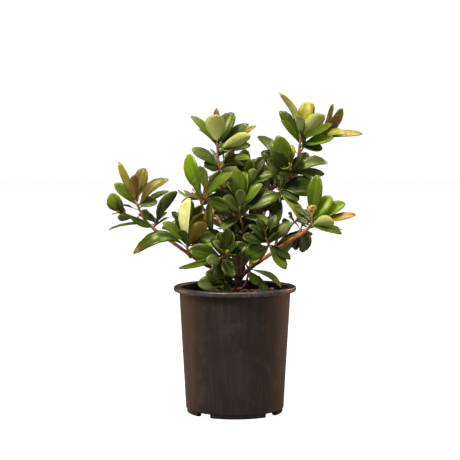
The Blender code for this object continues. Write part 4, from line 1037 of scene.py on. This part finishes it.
def small_leaf(route, share, around, openings, lengths, broad, bow, chance):
    """A small leaf off a limb or shoot, at a share of its length."""
    root, axis = at_share(route, share)
    outward = Matrix.Rotation(around, 3, axis) @ axis.orthogonal().normalized()
    opening = math.radians(chance.uniform(*openings))
    direction = (axis * math.cos(opening) + outward * math.sin(opening)).normalized()
    long = chance.uniform(*lengths) * MM
    return root, direction, upper_side(direction, axis, 0), long, broad * long, bow


def young_leaves(route, chance):
    """The small new leaves that close a shoot's tip."""
    for number in range(YOUNG_COUNT):
        share = 1 - YOUNG_SPACING * (YOUNG_COUNT - number)
        around = number * GOLDEN_ANGLE + chance.uniform(0, 1)
        yield small_leaf(route, share, around, *YOUNG_LEAF, chance)


def inner_leaves(route, count, chance):
    """Small leaves dealt up a limb inside the crown, none towards the viewer, later tinted dark as
    painted shade.
    """
    for number in range(count):
        share = INNER_FROM + (1 - INNER_FROM) * number / count
        leaf = small_leaf(route, share, number * GOLDEN_ANGLE, *INNER_LEAF, chance)
        if leaf[1].dot(VIEWER) < INNER_FRONT:
            yield leaf


def dress_masses(limbs):
    """Every mass's leaves by the solids' rule, joined into one piece for each tint."""
    all_shoots = {name: grow_shoots(spec, limbs) for name, spec in MASSES.items()}
    stands = {}
    joined = {letter: bmesh.new() for letter in TINTS}
    masses = {letter: set() for letter in TINTS}
    for name in MASSES:
        chance = random.Random("tints of " + name)
        grown = grow_leaves(name, limbs, all_shoots, stands)
        for route, _ in all_shoots[name]:
            grown += [(leaf, YOUNG_TINTS) for leaf in young_leaves(route, chance)]
        for leaf, letters in grown:
            letter = chance.choice(letters)
            grow_blade(joined[letter], leaf, chance)
            masses[letter].add(name)
    chance = random.Random("inner leaves")
    for limb, count in INNER_LEAVES.items():
        for leaf in inner_leaves(limbs[limb][0], count, chance):
            grow_blade(joined[chance.choice(INNER_SHADE_TINTS)], leaf, chance)
    for letter, (word, *colours) in TINTS.items():
        finishes = leaf_finishes(word, *colours)
        new_piece(f"{word}_leaves", joined[letter], finishes, sorted(masses[letter]))
    return all_shoots


def leaf_finishes(word, face, back, rib, margin):
    """The glossy upper side of a tint, and its matter and paler underside."""
    upper = finish(
        f"{word} leaf face", *(brightened(face, shade) for shade in FACE_SHADES), (52, 0.36, 0.64),
        (0.45, 0.31), (420, 1, 0.2, 0.0003), specular_ior_level=0.30, specular_tint=SHEEN,
    )
    under = finish(
        f"{word} leaf underside", *(brightened(back, shade) for shade in BACK_SHADES),
        (60, 0.3, 0.7), (0.62, 0.5), (420, 1, 0.3, 0.0003),
        specular_ior_level=0.2, specular_tint=SHEEN,
    )
    draw_veins(upper, brightened(face, *FACE_TIP), rib, margin, FACE_VEINS)
    draw_veins(under, brightened(back, *BACK_TIP), rib, margin, BACK_VEINS)
    if word == "spotted":
        add_patches(upper, RED_SPOTS)
        add_patches(under, RED_SPOTS)
    return upper, under


def draw_veins(made, tip, rib, margin, strength):
    """Lays a paler tip, side veins, rib and margin over a leaf's colour."""
    veins = add_node(made.node_tree, "Group", VEIN_LINES, node_tree=VEINS)
    for name, share, colour in (
        ("Tip", 0.5, tip), ("Vein", strength, rib), ("Rib", 0.8, rib), ("Margin", 0.8, margin),
    ):
        faint = add_node(made.node_tree, "Math", {0: veins[name], 1: share}, operation="MULTIPLY")
        lay_over(made, faint["Value"], colour)


# Stems

def grow_stem(bm, route, radii, sides, step, scars, chance):
    """A stem with bark relief along a route, swollen a little at each old leaf's scar."""
    lengths = stretches(route)
    count = max(4, round(sum(lengths) / step))
    places = [at_share(route, number / count)[0] for number in range(count + 1)]
    for _ in range(STEM_SMOOTHED):
        inner = [(a + 2 * b + c) / 4 for a, b, c in zip(places, places[1:], places[2:])]
        places = [places[0], *inner, places[-1]]
    shares = np.cumsum([0, *lengths]) / sum(lengths)
    thickness = STEM_SHARE * np.interp(np.linspace(0, 1, count + 1), shares, radii)
    grown = tube(places, thickness, sides)
    offset = Vector((chance.uniform(0, RIPPLES_APART), 0, 0))
    for number, vert in enumerate(grown.verts):
        ring = number // sides
        out = vert.co - places[ring]
        place = Vector((vert.co.x, vert.co.y, vert.co.z * RIPPLE_SQUEEZE)) * BARK_RIPPLES
        ridge = noise.noise(place + offset)
        scar = math.exp(-((ring * step % scars - scars / 2) / SCAR_WIDTH) ** 2)
        vert.co += out * (BARK_RELIEF * ridge + SCAR_SWELL * scar)
    add_copy(bm, grown)


def dress_limbs(limbs, all_shoots):
    """Trunk and boughs in one piece of old bark, and the masses' stems and shoots in young bark."""
    chance = random.Random("bark")
    bm = bmesh.new()
    for name, (route, radii) in limbs.items():
        sides = TRUNK_SIDES if name == "trunk" else BOUGH_SIDES
        grow_stem(bm, route, radii, sides, LIMB_STEP, LIMB_SCARS, chance)
    new_piece("old_bark_stems", bm, [old_bark()], list(limbs))
    bm = bmesh.new()
    for name, shoots in all_shoots.items():
        for route, radii in shoots:
            grow_stem(bm, route, radii, SHOOT_SIDES, SHOOT_STEP, SHOOT_SCARS, chance)
            add_bud(bm, route[-1], (route[-1] - route[-2]).normalized())
    new_piece("young_bark_shoots", bm, [young_bark()], list(all_shoots))


def add_bud(bm, tip, heading):
    """The pointed bud at a shoot's tip."""
    turn = Vector((0, 0, 1)).rotation_difference(heading).to_matrix().to_4x4()
    at = Matrix.Translation(tip + heading * BUD_LENGTH * BUD_BEYOND)
    place = at @ turn @ Matrix.Diagonal((1, 1, BUD_POINTED, 1))
    bmesh.ops.create_uvsphere(bm, u_segments=8, v_segments=6, radius=BUD_LENGTH / 3, matrix=place)


def old_bark():
    """Dark brown at the foot, and reddish brown further up, where the bark is younger."""
    made = finish("brown bark", (0.050, 0.025, 0.015), (0.014, 0.007, 0.005), (150, 0.32, 0.66),
                  (0.62, 0.85), (420, 0.25, 0.8, 0.0010), specular_ior_level=0.25)
    tree = made.node_tree
    squashed = add_node(tree, "VectorMath", {
        0: add_node(tree, "TexCoord")["Object"],
        1: (1, 1, HEIGHT_COUNTS),
        2: (0, 0, -HEIGHT_COUNTS * TRUNK_FOOT),
    }, operation="MULTIPLY_ADD")
    away = add_node(tree, "VectorMath", {0: squashed["Vector"]}, operation="LENGTH")
    near, far = YOUNG_BARK_FROM
    limits = {"Value": away["Value"], "From Min": near, "From Max": far}
    age = add_node(tree, "MapRange", limits, interpolation_type="SMOOTHSTEP")
    patches = add_clouds(made, (260, 0.2, 0.6))
    young = add_node(
        tree, "Math", {0: age["Result"], 1: patches["Mask"]}, operation="MULTIPLY"
    )
    lay_over(made, young["Value"], (0.36, 0.155, 0.060))
    return made


def young_bark():
    return finish("reddish young bark", (0.360, 0.150, 0.075), (0.150, 0.085, 0.030),
                  (90, 0.35, 0.65), (0.42, 0.55), (500, 0.3, 0.5, 0.0005), specular_ior_level=0.35)


# Pot and soil

def lathe(profile, sides):
    """A profile of (radius, height) points turned once round Z, merged and facing outwards."""
    bm = bmesh.new()
    line = [bm.verts.new((radius, 0, height)) for radius, height in profile]
    edges = [bm.edges.new(pair) for pair in zip(line, line[1:])]
    bmesh.ops.spin(
        bm, geom=line + edges, axis=(0, 0, 1), cent=(0, 0, 0),
        angle=2 * math.pi, steps=sides, use_merge=True,
    )
    bmesh.ops.remove_doubles(bm, verts=bm.verts, dist=1e-6)
    return facing_out(bm)


def arc(centre, radius, start, end, steps):
    """Points round part of a circle in the profile's plane, angles in degrees from straight out."""
    out, up = centre
    turns = [math.radians(start + (end - start) * step / steps) for step in range(steps + 1)]
    return [(out + radius * math.cos(turn), up + radius * math.sin(turn)) for turn in turns]


def pot_outline():
    """The pot's section: underside, rounded foot, step, wall, rolled rim, inner wall and floor."""
    foot = BODY_FOOT_RADIUS - STEP_IN
    points = [(0, NOTCH_HEIGHT), (foot - FOOT_RIM - 2 * MM, NOTCH_HEIGHT), (foot - FOOT_RIM, 0)]
    points += arc((foot - FOOT_ROUND, FOOT_ROUND), FOOT_ROUND, -90, 0, 5)
    points += [(foot, STEP_HEIGHT - 1.6 * STEP_IN)]
    points += arc((BODY_FOOT_RADIUS - STEP_ROUND, STEP_HEIGHT), STEP_ROUND, -50, 10, 3)
    for row in range(1, WALL_ROWS):
        height = STEP_HEIGHT + (RIM_TOP - RIM_ROLL - STEP_HEIGHT) * row / WALL_ROWS
        points.append((wall_radius(height), height))
    under = RIM_TOP - RIM_ROLL
    points += [(BODY_TOP_RADIUS, under), (BODY_TOP_RADIUS + 0.8 * MM, under + 0.9 * MM)]
    points += [(RIM_RADIUS - 2.3 * MM, under + 0.6 * MM)]
    points += arc((RIM_RADIUS - LIP_ROUND, under + LIP_ROUND), LIP_ROUND, -80, 0, 4)
    points += arc((RIM_RADIUS - RIM_ROUND, RIM_TOP - RIM_ROUND), RIM_ROUND, 5, 90, 5)
    inside = wall_radius(under) - WALL
    points += [(inside + WALL, RIM_TOP - 0.2 * MM)]
    points += arc((inside + BRIM_ROUND, RIM_TOP - LIP_ROUND), BRIM_ROUND, 100, 180, 4)
    for height in (150 * MM, 90 * MM, 30 * MM, FLOOR):
        points.append((wall_radius(height) - WALL, height))
    return points + [(0, FLOOR)]


def cut_away(piece, cutters):
    """The piece less each cutter, with its modifiers applied and the cutters removed."""
    for cutter in cutters:
        modifier = piece.modifiers.new("cut", "BOOLEAN")
        modifier.operation = "DIFFERENCE"
        modifier.solver = "EXACT"
        modifier.object = cutter
    bpy.context.view_layer.update()
    bm = bmesh.new()
    bm.from_object(piece, bpy.context.evaluated_depsgraph_get())
    for obj in (piece, *cutters):
        bpy.data.objects.remove(obj, do_unlink=True)
    return bm


def notch_and_drain(number):
    """What is cut from the pot's foot at one of its notches: the notch, and a hole behind it."""
    turn = Matrix.Rotation(NOTCH_FIRST + number * 2 * math.pi / NOTCHES, 4, "Z")
    reach = NOTCH_DEPTH + CUT_PAST
    tall = NOTCH_HEIGHT + CUT_PAST
    wide = NOTCH_SHARE * NOTCH_WIDTH
    middle = (BODY_FOOT_RADIUS + CUT_PAST - reach / 2, 0, NOTCH_HEIGHT - tall / 2)
    place = turn @ Matrix.Translation(middle) @ Matrix.Diagonal((reach, wide, tall, 1))
    notch = bmesh.new()
    bmesh.ops.create_cube(notch, size=1, matrix=place)
    upright = [edge for edge in notch.edges if min(v.co.z for v in edge.verts) > 0]
    bmesh.ops.bevel(
        notch, geom=upright, offset=NOTCH_ROUND, segments=3, affect="EDGES", profile=0.5,
        material=-1,
    )
    drain = bmesh.new()
    hole = turn @ Matrix.Translation((BODY_FOOT_RADIUS - NOTCH_DEPTH / 2 - WALL, 0, FLOOR))
    bmesh.ops.create_cone(
        drain, cap_ends=True, segments=24, radius1=DRAIN_RADIUS, radius2=DRAIN_RADIUS,
        depth=2 * (FLOOR - NOTCH_HEIGHT) + CUT_PAST / 2, matrix=hole,
    )
    return loose_object(f"notch {number}", notch), loose_object(f"drain {number}", drain)


def dress_pot():
    """The pot, cut at its foot and a little out of round at its rim, in three finishes: the wall's,
    the rim's, lighter partly as painted sheen, and the inside's, darker as painted shade.
    """
    cutters = [cutter for number in range(NOTCHES) for cutter in notch_and_drain(number)]
    bm = cut_away(loose_object("pot blank", lathe(pot_outline(), POT_TURNS)), cutters)
    for vert in bm.verts:
        share = max(0, vert.co.z / RIM_TOP) ** 3
        angle = math.atan2(vert.co.y, vert.co.x)
        waver = RIM_WAVER * math.sin(3 * angle + 1) + RIM_WAVER / 2 * math.sin(7 * angle)
        swell = 1 + share * waver
        vert.co.x *= swell
        vert.co.y *= swell
    bm.normal_update()
    for face in bm.faces:
        middle = face.calc_center_median()
        # Rim faces take the lighter rim finish, partly painted sheen; inside faces take the darker
        # inside finish, painted shade.
        if middle.z > RIM_TOP - RIM_ROLL:
            face.material_index = 1
        elif middle.z > FLOOR - 1 * MM and face.normal.dot(Vector((middle.x, middle.y, 0))) < 0:
            face.material_index = 2
    finishes = [pot_plastic(), rim_plastic_worn_and_sheened(), painted_shade_inner_plastic()]
    pot = new_piece("nursery_pot", bm, finishes, ["pot"])
    pot.data.set_sharp_from_angle(angle=SHARP_ANGLE)


def pot_plastic():
    """Black recycled plastic, with dusty grey scuffs, pale specks and faint upright streaks."""
    made = finish("scuffed black plastic", (0.0158, 0.0138, 0.0152), (0.0082, 0.0071, 0.0078),
                  (24, 0.3, 0.7), (0.46, 0.60), (500, 0.12, 0.35, 0.0004),
                  specular_ior_level=0.34, specular_tint=(1, 0.82, 0.68, 1))
    add_patches(made, POT_SCUFFS)
    scale, squeeze, start, end, colour = POT_STREAKS
    limits = {"Value": add_grain(made, scale, squeeze), "From Min": start, "From Max": end}
    lay_over(made, add_node(made.node_tree, "MapRange", limits)["Result"], colour)
    return made


def painted_shade_inner_plastic():
    """The pot's inside, black and dull, darker than the outside plastic as painted shade."""
    return finish("plastic inside in painted shade", (0.0075, 0.0062, 0.0058), (0.0040, 0.0034, 0.0032),
                  (30, 0.3, 0.7), (0.75, 0.85), (900, 1, 0.2, 0.0003), specular_ior_level=0.12)


def rim_plastic_worn_and_sheened():
    """The rim's smoother plastic, lighter than the wall and rubbed grey along its edge: partly wear
    and partly painted sheen.
    """
    made = finish("rubbed rim plastic with painted sheen", (0.036, 0.030, 0.029), (0.015, 0.0125, 0.0125),
                  (60, 0.3, 0.7), (0.34, 0.50), (900, 1, 0.15, 0.0003),
                  specular_ior_level=0.5, specular_tint=(1, 0.92, 0.88, 1))
    add_patches(made, RIM_RUBS_AND_SHEEN)
    return made


def dress_soil():
    """The soil's body with a rough top, and bark chips strewn on it."""
    low = FLOOR + GAP
    brim = wall_radius(SOIL_TOP) - WALL - GAP
    profile = [(0, low), (wall_radius(low) - WALL - GAP, low), (brim, SOIL_TOP)]
    profile += [(brim * (1 - ring / SOIL_RINGS), SOIL_TOP) for ring in range(1, SOIL_RINGS + 1)]
    bm = lathe(profile, SOIL_TURNS)
    for vert in bm.verts:
        if vert.co.z > SOIL_TOP - 1 * MM:
            inside = min(1, (brim - Vector((vert.co.x, vert.co.y)).length) / SOIL_EDGE)
            vert.co.z += inside * soil_height(vert.co.x, vert.co.y)
    new_piece("potting_soil", bm, [soil_finish()], ["soil"])
    chance = random.Random("chips")
    bm = bmesh.new()
    for _ in range(CHIPS):
        add_chip(bm, brim - CHIPS_IN, chance)
    chips = new_piece("bark_chips", bm, chip_finishes(), [])
    chips.data.shade_flat()


def add_chip(bm, reach, chance):
    """One rough chip of bark on the soil, lying nearly flat, in one of the chips' finishes."""
    away = reach * math.sqrt(chance.random())
    angle = chance.uniform(0, 2 * math.pi)
    x, y = away * math.cos(angle), away * math.sin(angle)
    long = chance.uniform(*CHIP_LENGTHS) * MM
    size = Vector((long, *(long * chance.uniform(*share) for share in CHIP_SHAPE)))
    tilts = (chance.gauss(0, CHIP_TILT), chance.gauss(0, CHIP_TILT), chance.uniform(0, math.pi))
    turn = Euler(tilts)
    at = Matrix.Translation((x, y, SOIL_TOP + soil_height(x, y) + CHIP_LIFT * size.z))
    place = at @ turn.to_matrix().to_4x4() @ Matrix.Diagonal((*size, 1))
    made = bmesh.ops.create_icosphere(bm, subdivisions=1, radius=0.5, matrix=place)
    shade = chance.choice(CHIP_MIX)
    for vert in made["verts"]:
        vert.co += Vector([chance.uniform(-1, 1) for _ in range(3)]) * CHIP_ROUGH * long
        for face in vert.link_faces:
            face.material_index = shade


def soil_height(x, y):
    """How far the soil stands over its level top: lumps, grit and a low heap."""
    lumps = sum(
        height * noise.noise(Vector((x, y, layer)) * scale) for scale, layer, height in SOIL_LUMPS
    )
    beside = Vector((x, y)) - Vector(HEAP_MIDDLE) * MM
    heap = HEAP_HEIGHT * math.exp(-beside.length_squared / (HEAP_REACH * MM) ** 2)
    return (lumps - SOIL_SUNK + heap) * MM


def soil_finish():
    return finish("moist bark compost", (0.050, 0.030, 0.018), (0.012, 0.008, 0.006),
                  (220, 0.35, 0.65), (0.85, 1.0), (500, 1, 1.0, 0.0015))


def chip_finishes():
    return [
        finish(f"{word} bark chip", tone, tuple(0.55 * value for value in tone), (300, 0.3, 0.7),
               (0.75, 0.9), (700, 0.4, 0.8, 0.0006))
        for word, tone in CHIP_TONES.items()
    ]


# Stage, light and camera

def white_to_look_at(tree, strength, dim, bright):
    """Sets a light's strength: bright where the camera sees it, dim where it lights the object."""
    seen = add_node(tree, "LightPath")["Is Camera Ray"]
    level = add_node(tree, "MapRange", {"Value": seen, "To Min": dim, "To Max": bright})
    tree.links.new(level["Result"], strength)


def pale_floor():
    made = bpy.data.materials.new("pale floor")
    made.use_nodes = True
    surface = made.node_tree.nodes["Principled BSDF"].inputs
    surface["Base Color"].default_value = FLOOR_GREY
    surface["Roughness"].default_value = 0.9
    surface["Specular IOR Level"].default_value = 0
    surface["Emission Color"].default_value = WHITE
    white_to_look_at(made.node_tree, surface["Emission Strength"], 0, FLOOR_BRIGHT)
    return made


def studio_world():
    world = bpy.data.worlds.new("studio")
    bpy.context.scene.world = world
    world.use_nodes = True
    backdrop = world.node_tree.nodes["Background"].inputs
    backdrop["Color"].default_value = WHITE
    white_to_look_at(world.node_tree, backdrop["Strength"], AMBIENT, BACKDROP_BRIGHT)


def set_stage():
    bm = bmesh.new()
    bmesh.ops.create_grid(bm, x_segments=1, y_segments=1, size=FLOOR_REACH)
    floor = loose_object("floor", bm)
    floor.data.materials.append(pale_floor())
    studio_world()
    for name, place, size, watts, colour in LIGHTS:
        lamp = bpy.data.lights.new(name, "AREA")
        lamp.size = size
        lamp.energy = watts
        lamp.color = colour
        light = in_scene(name, lamp)
        light.location = place
        light.rotation_euler = (LIT_POINT - Vector(place)).to_track_quat("-Z", "Y").to_euler()


def set_camera():
    lens = bpy.data.cameras.new("camera")
    lens.sensor_width = SENSOR_WIDTH
    lens.lens = lens.sensor_width * CAMERA_AWAY / (MM_A_PIXEL * MM * PHOTO_WIDTH)
    camera = in_scene("camera", lens)
    camera.location = (CAMERA_ASIDE, -CAMERA_AWAY, CAMERA_HEIGHT)
    camera.rotation_euler = (math.pi / 2 - CAMERA_PITCH, 0, 0)
    bpy.context.scene.camera = camera


def main():
    bpy.context.scene.view_settings.view_transform = "Standard"
    set_camera()
    set_stage()
    limbs = limb_shapes()
    all_shoots = dress_masses(limbs)
    dress_limbs(limbs, all_shoots)
    dress_pot()
    dress_soil()


MOTTLE = mottle_group()
GRAIN = grain_group()
VEINS = veins_group()
TEMPLATE = blade_template()
main()
